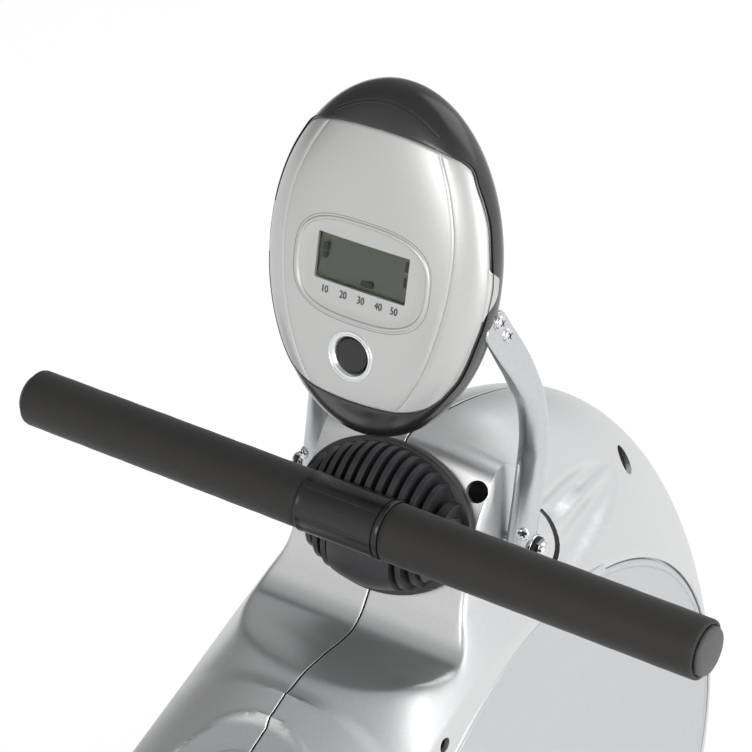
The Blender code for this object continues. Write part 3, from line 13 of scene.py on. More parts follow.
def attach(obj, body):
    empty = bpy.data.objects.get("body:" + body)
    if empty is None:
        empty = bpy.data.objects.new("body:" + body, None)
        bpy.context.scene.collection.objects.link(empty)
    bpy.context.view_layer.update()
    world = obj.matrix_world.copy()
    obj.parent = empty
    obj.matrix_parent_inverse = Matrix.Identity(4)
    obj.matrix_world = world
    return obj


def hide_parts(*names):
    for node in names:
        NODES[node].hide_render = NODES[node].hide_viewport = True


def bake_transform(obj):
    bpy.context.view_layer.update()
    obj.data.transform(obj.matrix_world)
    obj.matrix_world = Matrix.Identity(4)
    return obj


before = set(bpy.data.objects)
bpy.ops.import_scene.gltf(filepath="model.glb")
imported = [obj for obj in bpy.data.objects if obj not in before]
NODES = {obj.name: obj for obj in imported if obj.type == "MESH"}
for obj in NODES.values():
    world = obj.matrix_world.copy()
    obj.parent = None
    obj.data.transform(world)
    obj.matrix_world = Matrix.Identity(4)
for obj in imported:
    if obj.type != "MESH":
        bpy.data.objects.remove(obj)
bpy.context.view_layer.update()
SIDES = (("right", 1), ("left", -1))
UP = Vector((0, 0, 1))
GAP = 0.0003


# Node helpers

def add_node(tree, kind, inputs=None, **settings):
    """A shader node. Inputs are values or sockets, by name or place."""
    node = tree.nodes.new(kind)
    for name, value in settings.items():
        setattr(node, name, value)
    for socket, value in (inputs or {}).items():
        if isinstance(value, bpy.types.NodeSocket):
            tree.links.new(value, node.inputs[socket])
        else:
            node.inputs[socket].default_value = value
    return node


def math_node(tree, operation, first, second=0.0, clamp=False):
    return add_node(tree, "ShaderNodeMath", {0: first, 1: second}, operation=operation,
                    use_clamp=clamp).outputs[0]


def mix_colour(tree, factor, first, second):
    return add_node(tree, "ShaderNodeMix", {0: factor, 6: first, 7: second}, data_type="RGBA").outputs[2]


def mix_shaders(tree, factor, first, second):
    inputs = {0: factor, 1: first.outputs[0], 2: second.outputs[0]}
    return add_node(tree, "ShaderNodeMixShader", inputs)


def map_range(tree, value, low, high, new_low=0.0, new_high=1.0):
    inputs = {0: value, 1: low, 2: high, 3: new_low, 4: new_high}
    return add_node(tree, "ShaderNodeMapRange", inputs).outputs[0]


def object_place(tree):
    return add_node(tree, "ShaderNodeTexCoord").outputs["Object"]


def noise(tree, place, scale, detail=2.0):
    return add_node(tree, "ShaderNodeTexNoise",
                    {"Vector": place, "Scale": scale, "Detail": detail}).outputs[0]


def relief(tree, height, strength, distance):
    inputs = {"Strength": strength, "Distance": distance, "Height": height}
    return add_node(tree, "ShaderNodeBump", inputs).outputs[0]


# Effects that several materials share

SOCKET_KINDS = {1: "NodeSocketFloat", 3: "NodeSocketVector", 4: "NodeSocketColor"}


def open_group(name, inputs):
    """A new effect and its named inputs, whose kinds follow their values."""
    tree = bpy.data.node_groups.new(name, "ShaderNodeTree")
    for label, value in inputs.items():
        kind = SOCKET_KINDS[len(value) if isinstance(value, tuple) else 1]
        tree.interface.new_socket(label, in_out="INPUT", socket_type=kind).default_value = value
    return tree, tree.nodes.new("NodeGroupInput").outputs


def close_group(tree, results):
    """Names what an effect gives: a list of (label, number of parts, socket)."""
    for label, parts, _ in results:
        tree.interface.new_socket(label, in_out="OUTPUT", socket_type=SOCKET_KINDS[parts])
    outputs = tree.nodes.new("NodeGroupOutput").inputs
    for label, _, socket in results:
        tree.links.new(socket, outputs[label])
    return tree


def make_moulded_group():
    """A moulded or painted skin: slow unevenness in tone and gloss, and a fine grain."""
    tree, given = open_group("moulded_skin", {
        "Colour": (0.5, 0.5, 0.5, 1), "Second Colour": (0.4, 0.4, 0.4, 1), "Roughness": 0.4,
        "Roughness Spread": 0.08, "Grain Size": 900.0, "Grain Depth": 0.1, "Patch Size": 9.0})
    place = object_place(tree)
    patches = noise(tree, place, given["Patch Size"], 4.0)
    grain = noise(tree, place, given["Grain Size"], 3.0)
    share = map_range(tree, patches, 0.35, 0.65)
    swing = math_node(tree, "SUBTRACT", patches, 0.5)
    swing = math_node(tree, "MULTIPLY", swing, given["Roughness Spread"])
    return close_group(tree, [
        ("Colour", 4, mix_colour(tree, share, given["Colour"], given["Second Colour"])),
        ("Roughness", 1, math_node(tree, "ADD", swing, given["Roughness"], True)),
        ("Normal", 3, relief(tree, grain, given["Grain Depth"], 0.0004))])


def make_flake_group():
    """Silver paint: fine bright and dark flakes over a slow change of tone."""
    tree, given = open_group("silver_flake", {
        "Colour": (0.6, 0.6, 0.6, 1), "Flake Colour": (0.8, 0.8, 0.8, 1), "Flake Size": 2600.0,
        "Flake Share": 0.35, "Roughness": 0.35, "Depth": 0.05})
    place = object_place(tree)
    flakes = add_node(tree, "ShaderNodeTexVoronoi", {"Vector": place, "Scale": given["Flake Size"]})
    spot = add_node(tree, "ShaderNodeSeparateColor", {0: flakes.outputs["Color"]}).outputs[0]
    amount = math_node(tree, "MULTIPLY", spot, given["Flake Share"])
    swing = map_range(tree, noise(tree, place, 5.0, 3.0), 0.3, 0.7, -0.03, 0.03)
    return close_group(tree, [
        ("Colour", 4, mix_colour(tree, amount, given["Colour"], given["Flake Colour"])),
        ("Roughness", 1, math_node(tree, "ADD", swing, given["Roughness"])),
        ("Normal", 3, relief(tree, noise(tree, place, 700.0), given["Depth"], 0.0003))])


def make_weave_group():
    """Woven webbing: ribs across and along."""
    tree, given = open_group("webbing_weave", {
        "Colour": (0.03, 0.03, 0.03, 1), "Thread Colour": (0.06, 0.06, 0.06, 1), "Pitch": 700.0,
        "Depth": 0.6})
    waves = {"Vector": object_place(tree), "Scale": given["Pitch"]}
    ribs = [add_node(tree, "ShaderNodeTexWave", waves, bands_direction=way).outputs["Fac"]
            for way in ("X", "DIAGONAL")]
    height = math_node(tree, "MAXIMUM", *ribs)
    return close_group(tree, [
        ("Colour", 4, mix_colour(tree, height, given["Colour"], given["Thread Colour"])),
        ("Normal", 3, relief(tree, height, given["Depth"], 0.0005))])


def make_scratch_group():
    """Fine rubbed streaks along one direction, in colour, gloss and relief."""
    tree, given = open_group("rubbed_streaks", {
        "Stretch": (4.0, 80.0, 80.0), "Amount": 0.5, "Roughness": 0.3,
        "Colour": (0.02, 0.02, 0.02, 1), "Rubbed Colour": (0.08, 0.08, 0.08, 1)})
    stretched = add_node(tree, "ShaderNodeVectorMath", {0: object_place(tree), 1: given["Stretch"]},
                         operation="MULTIPLY")
    streaks = noise(tree, stretched.outputs[0], 6.0, 6.0)
    mask = math_node(tree, "MULTIPLY", map_range(tree, streaks, 0.56, 0.72), given["Amount"], True)
    swing = map_range(tree, streaks, 0.3, 0.7, -0.06, 0.1)
    return close_group(tree, [
        ("Colour", 4, mix_colour(tree, mask, given["Colour"], given["Rubbed Colour"])),
        ("Roughness", 1, math_node(tree, "ADD", swing, given["Roughness"], True)),
        ("Normal", 3, relief(tree, streaks, 0.12, 0.0003))])


GROUPS = {
    "moulded": make_moulded_group(), "flake": make_flake_group(),
    "weave": make_weave_group(), "rubbed": make_scratch_group(),
}


# Finishes

def new_finish(name, group, values, **shader_values):
    """A material whose colour, gloss and relief come from a shared effect. Colours have three parts here."""
    material = bpy.data.materials.new(name)
    material.use_nodes = True
    tree = material.node_tree
    shader = tree.nodes["Principled BSDF"]
    for socket, value in shader_values.items():
        shader.inputs[socket.replace("_", " ")].default_value = value
    effect = add_node(tree, "ShaderNodeGroup", node_tree=GROUPS[group])
    for socket, value in values.items():
        effect.inputs[socket].default_value = (*value, 1.0) if "Colour" in socket else value
    for source, target in (("Colour", "Base Color"), ("Roughness", "Roughness"), ("Normal", "Normal")):
        if source in effect.outputs:
            tree.links.new(effect.outputs[source], shader.inputs[target])
    return material


def moulded(name, colour, roughness, grain, depth, spread=0.1, contrast=0.88, patch=9.0, **more):
    values = {"Colour": colour, "Second Colour": [c * contrast for c in colour], "Roughness": roughness,
              "Roughness Spread": spread, "Grain Size": grain, "Grain Depth": depth, "Patch Size": patch}
    return new_finish(name, "moulded", values, **more)


def silver(name, colour, flake, roughness, metallic, share=0.35):
    values = {"Colour": colour, "Flake Colour": flake, "Roughness": roughness, "Flake Share": share}
    return new_finish(name, "flake", values, Metallic=metallic)


def rubbed(name, colour, rubbed_colour, roughness, stretch, amount, metallic=0.0):
    values = {"Colour": colour, "Rubbed Colour": rubbed_colour, "Roughness": roughness,
              "Stretch": stretch, "Amount": amount}
    return new_finish(name, "rubbed", values, Metallic=metallic)


FINISH = {
    "housing": silver("housing_silver", (0.66, 0.662, 0.66), (0.88, 0.885, 0.89), 0.34, 0.8),
    "cover": silver("cover_silver", (0.56, 0.565, 0.57), (0.76, 0.77, 0.78), 0.42, 0.45),
    "console": silver("console_silver", (0.6, 0.605, 0.59), (0.78, 0.785, 0.77), 0.36, 0.62, share=0.2),
    "arm": silver("arm_silver", (0.54, 0.55, 0.56), (0.78, 0.79, 0.81), 0.28, 0.85),
    "frame": silver("frame_silver", (0.5, 0.51, 0.53), (0.74, 0.75, 0.78), 0.36, 0.65),
    "bright": silver("ring_silver", (0.78, 0.79, 0.79), (0.92, 0.92, 0.92), 0.22, 0.85),
    "black": moulded("satin_black", (0.02, 0.02, 0.021), 0.42, 1400.0, 0.25),
    "rest": moulded("rest_black", (0.031, 0.031, 0.033), 0.4, 1100.0, 0.2, contrast=1.5, patch=30.0),
    "cap": moulded("cap_black", (0.012, 0.011, 0.011), 0.3, 1800.0, 0.05, contrast=1.3,
                   Coat_Weight=0.6, Coat_Roughness=0.16),
    "foam": moulded("grip_foam", (0.026, 0.0235, 0.0215), 0.62, 2400.0, 0.45, contrast=0.82, patch=14.0,
                    Sheen_Weight=0.12, Sheen_Roughness=0.4),
    "end": moulded("end_black", (0.105, 0.102, 0.104), 0.5, 900.0, 0.2),
    "rubber": moulded("dark_rubber", (0.022, 0.022, 0.022), 0.75, 800.0, 0.35, contrast=1.4),
    "vinyl": moulded("seat_vinyl", (0.022, 0.022, 0.023), 0.48, 620.0, 0.6, contrast=1.25, patch=20.0),
    "jacket": moulded("cable_jacket", (0.01, 0.01, 0.011), 0.4, 500.0, 0.1),
    "iron": moulded("cast_iron", (0.1, 0.1, 0.105), 0.55, 500.0, 0.6, contrast=1.3, Metallic=0.7),
    # Painted shade for the fine crease just outside the display's bezel.
    "crease": moulded("painted_crease_shade", (0.2, 0.21, 0.205), 0.5, 300.0, 0.05),
    "board": moulded("circuit_board", (0.02, 0.16, 0.07), 0.45, 200.0, 0.3),
    "ink": moulded("print_ink", (0.06, 0.06, 0.065), 0.5, 300.0, 0.05),
    "dark": moulded("deep_shade", (0.012, 0.012, 0.012), 0.8, 300.0, 0.2),
    "display": moulded("display_grey", (0.06, 0.068, 0.046), 0.32, 300.0, 0.03, contrast=0.93, patch=60.0),
    "segment": moulded("display_dark", (0.018, 0.022, 0.018), 0.35, 300.0, 0.03),
    "window": moulded("clear_window", (0.96, 0.97, 0.96), 0.04, 60.0, 0.0, spread=0.02, contrast=0.99,
                      Transmission_Weight=1.0, IOR=1.3),
    "sleeve": rubbed("sleeve_black", (0.014, 0.014, 0.014), (0.045, 0.044, 0.044), 0.24,
                     (10.0, 60.0, 60.0), 0.2),
    "steel": rubbed("bright_steel", (0.58, 0.58, 0.6), (0.74, 0.74, 0.76), 0.22, (50.0, 50.0, 8.0), 0.6, 1.0),
    "plated": rubbed("plated_steel", (0.7, 0.7, 0.72), (0.86, 0.86, 0.88), 0.16, (40.0, 40.0, 40.0), 0.4,
                     1.0),
    "rail": rubbed("rail_aluminium", (0.62, 0.63, 0.64), (0.74, 0.75, 0.76), 0.28, (60.0, 1.0, 60.0), 0.5,
                   0.9),
    "webbing": new_finish("strap_webbing", "weave", {
        "Colour": (0.016, 0.016, 0.017), "Thread Colour": (0.04, 0.04, 0.042)}, Roughness=0.85),
}


# Numbers and lines

def ease(low, high, value):
    """0 below low, 1 above high, and a smooth step between."""
    t = min(1.0, max(0.0, (value - low) / (high - low)))
    return t * t * (3 - 2 * t)


def spread(low, high, count):
    """Count even steps from low to high, both ends included."""
    return [low + (high - low) * i / count for i in range(count + 1)]


def angles(count):
    """Count even angles round a full turn."""
    return [2 * math.pi * i / count for i in range(count)]


def signed_power(value, power):
    """The power of a value's size, with the value's sign."""
    return math.copysign(abs(value) ** power, value)


def smooth_line(points, spacing):
    """Points along a smooth curve through the given ones, about spacing apart."""
    stations = [Vector(p) for p in points]
    gaps = [max(1e-9, (b - a).length) for a, b in zip(stations, stations[1:])]
    slopes = [(stations[1] - stations[0]) / gaps[0]]
    for i in range(1, len(stations) - 1):
        before = (stations[i] - stations[i - 1]) / gaps[i - 1]
        after = (stations[i + 1] - stations[i]) / gaps[i]
        slopes.append((before * gaps[i] + after * gaps[i - 1]) / (gaps[i] + gaps[i - 1]))
    slopes.append((stations[-1] - stations[-2]) / gaps[-1])
    line = []
    for i, gap in enumerate(gaps):
        steps = max(1, round(gap / spacing))
        for step in range(steps):
            t = step / steps
            place = stations[i] * (2 * t ** 3 - 3 * t * t + 1) + slopes[i] * ((t ** 3 - 2 * t * t + t) * gap)
            place += stations[i + 1] * (3 * t * t - 2 * t ** 3)
            line.append(place + slopes[i + 1] * ((t ** 3 - t * t) * gap))
    line.append(stations[-1])
    return line


def reader(points, spacing=0.002):
    """A smooth reading of a list of (place, value) stations."""
    line = smooth_line(points, spacing)

    def read(place):
        if place <= line[0][0]:
            return line[0][1]
        for a, b in zip(line, line[1:]):
            if place <= b[0]:
                return a[1] + (b[1] - a[1]) * (place - a[0]) / max(1e-9, b[0] - a[0])
        return line[-1][1]
    return read


def on_side(point, side):
    """A point of the right side, or with -1 its mirror image on the left."""
    return Vector((side * point.x, point.y, point.z))


def on_ray(angle):
    """The (y, z) direction at an angle in degrees."""
    return Vector((math.cos(math.radians(angle)), math.sin(math.radians(angle))))


def along_line(line, share):
    """The point a share of the way along a line of points."""
    spans = [(b - a).length for a, b in zip(line, line[1:])]
    rest = share * sum(spans)
    for a, b, span in zip(line, line[1:], spans):
        if rest <= span:
            return a + (b - a) * (rest / span)
        rest -= span
    return line[-1]


# Outlines

def circle(radius, steps):
    return [(radius * math.cos(angle), radius * math.sin(angle)) for angle in angles(steps)]


def rectangle(low_a, high_a, half_b, middle_b=0.0):
    low_b, high_b = middle_b - half_b, middle_b + half_b
    return [(low_a, low_b), (high_a, low_b), (high_a, high_b), (low_a, high_b)]


def rounded_outline(half_a, half_b, radius, steps=5):
    """A rectangle with round corners, centred on zero."""
    outline = []
    for sign_a, sign_b, start in ((1, 1, 0), (-1, 1, 90), (-1, -1, 180), (1, -1, 270)):
        for angle in spread(math.radians(start), math.radians(start + 90), steps):
            outline.append((sign_a * (half_a - radius) + radius * math.cos(angle),
                            sign_b * (half_b - radius) + radius * math.sin(angle)))
    return outline


def softened(profile, radius, steps=3):
    """An open profile with its corners rounded."""
    result = [tuple(profile[0])]
    for before, here, after in zip(profile, profile[1:], profile[2:]):
        here = Vector(here)
        before = Vector(before) - here
        after = Vector(after) - here
        reach = min(radius, 0.45 * before.length, 0.45 * after.length)
        start = here + before.normalized() * reach
        end = here + after.normalized() * reach
        for t in spread(0.0, 1.0, steps):
            result.append(tuple(start * (1 - t) ** 2 + here * 2 * t * (1 - t) + end * t * t))
    return result + [tuple(profile[-1])]


# Shapes, each a list of points and a list of faces

def grid(rows, wrap=False, caps=False):
    """Rows of points of equal count as a surface. With wrap each row is closed, and caps close the ends."""
    count = len(rows[0])
    points = [p for row in rows for p in row]
    faces = []
    for i in range(len(rows) - 1):
        for j in range(count if wrap else count - 1):
            k = (j + 1) % count
            faces.append((i * count + j, i * count + k, (i + 1) * count + k, (i + 1) * count + j))
    if caps:
        faces.append(tuple(reversed(range(count))))
        faces.append(tuple(range(len(points) - count, len(points))))
    return points, faces


def solid(rings):
    """Closed rings of points as a solid with flat ends."""
    return grid(rings, wrap=True, caps=True)


def slab(outline, low, high):
    """A flat outline of (y, z) points, thickened along X."""
    return solid([[Vector((x, y, z)) for y, z in outline] for x in (low, high)])


def plate(outline, low, high):
    """A flat outline of (x, y) points, thickened along Z."""
    return solid([[Vector((x, y, z)) for x, y in outline] for z in (low, high)])


def turned(profile, sides, axis="X", closed=False):
    """A profile of (radius, height) points turned about an axis. Points on the axis become poles."""
    points = []
    index = []
    for radius, height in profile:
        if radius < 1e-7:
            index.append([len(points)] * sides)
            points.append(Vector((height, 0.0, 0.0)))
            continue
        index.append(list(range(len(points), len(points) + sides)))
        points += [Vector((height, a, b)) for a, b in circle(radius, sides)]
    faces = []
    for row in range(len(profile) if closed else len(profile) - 1):
        here = index[row]
        there = index[(row + 1) % len(profile)]
        for i in range(sides):
            k = (i + 1) % sides
            corners = tuple(dict.fromkeys((here[i], here[k], there[k], there[i])))
            if len(corners) > 2:
                faces.append(corners)
    if axis == "Z":
        points = [Vector((p.y, p.z, p.x)) for p in points]
    return points, faces


def sweep(outline, path, up=Vector((1, 0, 0)), closed=False):
    """A section of (a, b) points carried along a 3-D path: a lies along up, and b across it."""
    rings = []
    count = len(path)
    for i, here in enumerate(path):
        before = path[i - 1] if (i > 0 or closed) else path[i]
        after = path[(i + 1) % count] if (i < count - 1 or closed) else path[i]
        along = (Vector(after) - Vector(before)).normalized()
        side = along.cross(up).normalized()
        over = side.cross(along).normalized()
        rings.append([Vector(here) + over * a + side * b for a, b in outline])
    if not closed:
        return solid(rings)
    points, faces = grid(rings + rings[:1], wrap=True)
    last = len(points) - len(outline)
    return points[:last], [tuple(i - last if i >= last else i for i in face) for face in faces]


def joined(*shapes):
    """Several shapes as one."""
    points = []
    faces = []
    for more_points, more_faces in shapes:
        start = len(points)
        points.extend(Vector(p) for p in more_points)
        faces.extend(tuple(i + start for i in face) for face in more_faces)
    return points, faces


def placed(shape, matrix):
    points, faces = shape
    return [matrix @ Vector(p) for p in points], faces


def moved(shape, offset):
    return placed(shape, Matrix.Translation(Vector(offset)))


def turn_to(direction, place):
    """A placing that turns +X to a direction and moves the middle to a place."""
    turn = Vector(direction).to_track_quat("X", "Z").to_matrix().to_4x4()
    return Matrix.Translation(Vector(place)) @ turn


# Pieces

def add_object(name, data):
    thing = bpy.data.objects.new(name, data)
    bpy.context.scene.collection.objects.link(thing)
    return thing


def turn_faces_out(mesh, weld=False):
    editing = bmesh.new()
    editing.from_mesh(mesh)
    if weld:
        bmesh.ops.remove_doubles(editing, verts=editing.verts, dist=1e-6)
    bmesh.ops.recalc_face_normals(editing, faces=editing.faces)
    editing.to_mesh(mesh)
    editing.free()


def shape_mesh(name, shape):
    points, faces = shape
    mesh = bpy.data.meshes.new(name)
    mesh.from_pydata([tuple(p) for p in points], [], faces)
    turn_faces_out(mesh)
    return mesh


def shade(mesh, sharp):
    mesh.shade_smooth()
    mesh.set_sharp_from_angle(angle=math.radians(sharp))


def new_piece(name, shape, finish, nodes=(), body="frame", sharp=35.0, bevel=0.0):
    """A piece with its faces turned out, riding on a body of the machine and standing for the given nodes."""
    mesh = shape_mesh(name, shape)
    shade(mesh, sharp)
    mesh.materials.append(FINISH[finish])
    piece = add_object(name, mesh)
    if bevel:
        rounding = piece.modifiers.new("rounding", "BEVEL")
        rounding.width = bevel
        rounding.segments = 2
        rounding.limit_method = "ANGLE"
        rounding.angle_limit = math.radians(40)
        rounding.harden_normals = True
    if body:
        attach(piece, body)
    if nodes:
        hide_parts(*nodes)
    return piece


def evaluated_mesh(thing):
    bpy.context.view_layer.update()
    return bpy.data.meshes.new_from_object(thing.evaluated_get(bpy.context.evaluated_depsgraph_get()))


def bake_modifiers(piece, sharp=35.0):
    """Makes what the modifiers of a piece show its own mesh."""
    mesh = evaluated_mesh(piece)
    piece.modifiers.clear()
    old = piece.data
    piece.data = mesh
    mesh.name = piece.name
    bpy.data.meshes.remove(old)
    shade(mesh, sharp)


def thicken(piece, thickness, sharp):
    """Gives a skin a wall towards its inside."""
    wall = piece.modifiers.new("wall", "SOLIDIFY")
    wall.thickness = thickness
    wall.offset = -1.0
    bake_modifiers(piece, sharp)


def cut_away(piece, shape):
    """Takes a closed shape out of a piece for good."""
    cutter = add_object("cutter", shape_mesh("cutter", shape))
    modifier = piece.modifiers.new("cut", "BOOLEAN")
    modifier.operation = "DIFFERENCE"
    modifier.solver = "MANIFOLD"
    modifier.object = cutter
    bake_modifiers(piece)
    bpy.data.objects.remove(cutter)


def pan_screw(place, direction, radius=0.0038, height=0.0022):
    """A round-headed screw and its cross recess, seated at a place and facing a direction."""
    profile = [(0.0, -0.001), (radius, -0.001), (radius, height * 0.45), (radius * 0.8, height * 0.85),
               (radius * 0.45, height), (0.0, height)]
    # The cross recess is not cut: two thin blades through the top of the head, in the near-black finish,
    # paint the shade of the recess.
    blade = slab(rounded_outline(radius * 0.55, 0.00045, 0.0002, 1), height * 0.72, height * 1.02)
    slots = [placed(blade, Matrix.Rotation(math.radians(turn), 4, "X")) for turn in (20, 110)]
    matrix = turn_to(direction, place)
    return placed(turned(softened(profile, 0.0004), 20), matrix), placed(joined(*slots), matrix)


def new_screws(name, recess_shade_name, screws, finish="steel", washers=()):
    """Screw heads as one piece, and as another the near-black blades of their cross recesses: painted shade
    in the recesses.
    """
    heads, recesses = zip(*screws)
    new_piece(name, joined(*heads, *washers), finish)
    new_piece(recess_shade_name, joined(*recesses), "dark")


# Housing sizes, as in the model

HALF_WIDTH = 0.082
HOUSING_WALL = 0.003
EDGE_START = HALF_WIDTH - 0.004
WHEELHOUSE = Vector((0.672, 0.238))
SHOULDER_RADIUS = 0.199
NOSE = Vector((0.617, 0.226))
NOSE_RADIUS = 0.319
COVER_RADIUS = 0.197
COVER_SEAT = 0.012
COVER_THICKNESS = 0.0035
COVER_SCREWS_RADIUS = 0.172
PEDESTAL_HALF = 0.058
PEDESTAL_SKIRT = 0.0075
SEAM_HALF = 0.00055
UNDERSIDE_HALF = 0.036
TAIL_END = 0.505
KNOB_SEAT = Vector((0.0, 0.447, 0.409285))
KNOB_SLOPE = math.atan((0.4182 - 0.406) / (0.466 - 0.44))
KNOB_DISH = (0.041, 0.045)
KNOB_DISH_DEPTH = 0.0034
KNOB_BRIM = 0.0009
LEAF_START = 0.64
LEAF_TIP = 0.7775
LEAF_RIDGE = 0.0024

TAIL_PROFILE = [(0.23, 0.31), (0.3, 0.3425), (0.38, 0.3785), (0.44, 0.406), (0.466, 0.4182),
                (0.479, 0.4243), (0.4915, 0.4302), (0.503, 0.4362)]
SEAM_PROFILE = TAIL_PROFILE + [
    (0.512, 0.4394), (0.52, 0.4402), (0.531, 0.4402), (0.546, 0.4402), (0.56, 0.4396), (0.5715, 0.4412),
    (0.579, 0.4466), (0.586, 0.456), (0.605, 0.4995), (0.62, 0.5335), (0.6235, 0.5398), (0.627, 0.5432),
    (0.6319, 0.5449), (0.648, 0.5435), (0.6609, 0.542), (0.675, 0.5396), (0.69, 0.5366),
]
CROWN_PROFILE = TAIL_PROFILE + [
    (0.512, 0.4414), (0.524, 0.4512), (0.536, 0.4618), (0.549, 0.4737), (0.57, 0.4925), (0.596, 0.511),
    (0.64, 0.529), (0.69, 0.5368),
]
TAIL_UNDER = [
    (0.535, 0.0863), (0.492, 0.1101), (0.447, 0.135), (0.4, 0.161), (0.32, 0.2055), (0.246, 0.2466),
    (0.238, 0.254), (0.233, 0.272), (0.2306, 0.291),
]
LEAF_INNER = reader([(0.64, 0.059), (0.686, 0.056), (0.731, 0.0515), (0.77, 0.0505), (0.7775, 0.052)])
LEAF_CREASE = reader([(0.64, 0.0655), (0.672, 0.0655), (0.699, 0.0652), (0.7205, 0.0627), (0.745, 0.0587),
                      (0.77, 0.0535), (0.7775, 0.0521)])
LEAF_OUTER = reader([(0.64, 0.0815), (0.701, 0.0791), (0.7256, 0.0747), (0.7476, 0.0693), (0.764, 0.063),
                     (0.775, 0.0571), (0.7775, 0.0522)])
CROWN = reader(CROWN_PROFILE)
SECTION_PLACES = ([SEAM_HALF, 0.0007, 0.0009, 0.0012] + spread(0.002, 0.05, 24)[:-1]
                  + spread(0.05, 0.066, 16)[:-1] + spread(0.066, EDGE_START, 8))
HOLES = [
    (Vector((0.0517, 0.619, 0.5287)), Vector((0, -0.914, 0.406)), 0.0066, 0.012),
    (Vector((0.051, 0.799, 0.454)), Vector((1, 0, 0)), 0.0075, 0.014),
    (Vector((0.079, 0.544, 0.4085)), Vector((1, 0, 0)), 0.0046, 0.01),
    (Vector((0.08, 0.33, 0.262)), Vector((1, 0, 0)), 0.0095, 0.02),
]
STRAP_RISE = math.radians(6)
STRAP_WAY = Vector((0.0, math.cos(STRAP_RISE), -math.sin(STRAP_RISE)))
HANDLE = Vector((0.0, 0.57, 0.52))


# Housing

def shoulder_height(y):
    """Height of the side's upper edge: the tail's slope, levelling off over the wheelhouse."""
    ahead = max(0.0, y - WHEELHOUSE.x)
    top = WHEELHOUSE.y + math.sqrt(SHOULDER_RADIUS ** 2 - ahead ** 2)
    tail = 0.385 + 0.38 * (y - 0.462)
    return 0.5 * (top + tail - math.hypot(top - tail, 0.01))


def new_section(seam, crown, side, pedestal=0.0, fall=Vector((0, 0)), start=0.0, soft=0.0):
    """One section across the housing. Soft is how softly the scoop meets the dome, or None for no scoop."""
    return {"seam": seam, "crown": crown, "side": side, "pedestal": pedestal, "fall": fall, "start": start,
            "soft": soft}


def housing_sections():
    """Sections across the housing, from the tail's top round the front to its underside."""
    sections = []
    for seam in smooth_line(SEAM_PROFILE, 0.0019):
        y = seam.x
        side_y = y + 0.0275 * ease(0.6, 0.69, y)
        drop = 0.0065 + 0.0455 * ease(0.636, 0.69, y)
        crown = CROWN(y)
        crown += (seam.y - crown) * ease(0.642, 0.668, y)
        soft = 0.0026 + 0.0045 * (1 - ease(0.512, 0.54, y))
        sections.append(new_section(
            seam, Vector((y, crown)), Vector((side_y, shoulder_height(side_y))),
            pedestal=ease(0.562, 0.58, y) * (1 - ease(0.66, 0.69, y)),
            fall=Vector((0.003, -drop)) * ease(0.606, 0.6235, y),
            soft=soft * ease(0.498, 0.514, y) * (1 - ease(0.585, 0.605, y))))
    angle = 76.2
    while angle > -119.01:
        way = on_ray(angle)
        side = WHEELHOUSE + way * (SHOULDER_RADIUS + 0.005 * ease(0, 30, -angle))
        crown = side + (NOSE + way * NOSE_RADIUS - side) * (1 - ease(5, 70, -angle))
        sections.append(new_section(crown, crown, side, start=UNDERSIDE_HALF * ease(30.0, 38.0, -angle)))
        angle -= 0.3 if angle > 58.5 else 0.7 if angle > 48 else 3.0
    sections += [new_section(corner, corner, corner, start=UNDERSIDE_HALF, soft=None)
                 for corner in smooth_line(TAIL_UNDER, 0.008)]
    return sections


def section_point(section, x):
    """The (y, z) point of a section at x: a dome cut down to the scoop, with the pedestal standing on it."""
    seam, side = section["seam"], section["side"]
    point = side + (section["crown"] - side) * (1 - (x / HALF_WIDTH) ** 2)
    if section["soft"] is not None and section["crown"] != seam:
        point.y = 0.5 * (point.y + seam.y - math.hypot(point.y - seam.y, section["soft"]))
    if section["pedestal"] > 0:
        feature = seam + section["fall"] * (x / PEDESTAL_HALF) ** 2
        share = 1 - ease(PEDESTAL_HALF, PEDESTAL_HALF + PEDESTAL_SKIRT, x)
        point += (feature - point) * section["pedestal"] * share
    return point


def leaf_depth(x, y):
    """How deep the pointed hollow beside the pedestal lies: two soft panels with a ridge between them."""
    if not LEAF_START < y < LEAF_TIP:
        return 0.0
    inner, crease, outer = LEAF_INNER(y), LEAF_CREASE(y), LEAF_OUTER(y)
    if not inner < x < outer:
        return 0.0
    share = (x - inner) / max(1e-5, crease - inner) if x < crease else (outer - x) / max(1e-5, outer - crease)
    depth = min(1.0, (LEAF_TIP - y) / 0.045) * ease(LEAF_START, 0.672, y)
    hollow = 0.005 * math.sin(math.pi * share) ** 1.6 + 0.0008 * ease(0.0, 1.0, share)
    ridge = math.exp(-((x - crease) / LEAF_RIDGE) ** 2) + 0.8 * math.exp(-((x - outer) / LEAF_RIDGE) ** 2)
    return depth * (hollow - 0.0007 * ridge)


def dished(point):
    """A point of the tail, levelled where the round seat of the knob lies, with a low brim round it."""
    away = math.hypot(point.x, (point.y - KNOB_SEAT.y) / math.cos(KNOB_SLOPE))
    share = 1 - ease(*KNOB_DISH, away)
    floor = KNOB_SEAT.z + math.tan(KNOB_SLOPE) * (point.y - KNOB_SEAT.y) - KNOB_DISH_DEPTH
    brim = KNOB_BRIM * math.exp(-((away - 0.0458) / 0.0014) ** 2)
    return Vector((point.x, point.y, point.z + (floor - point.z) * share + brim))


def surface_offset(point):
    """How far a point of the housing's skin lies below its plain form."""
    rounding = 0.0004 * max(0.0, 1 - (abs(point.x) - SEAM_HALF) / 0.0006) ** 2
    return rounding + leaf_depth(abs(point.x), point.y)


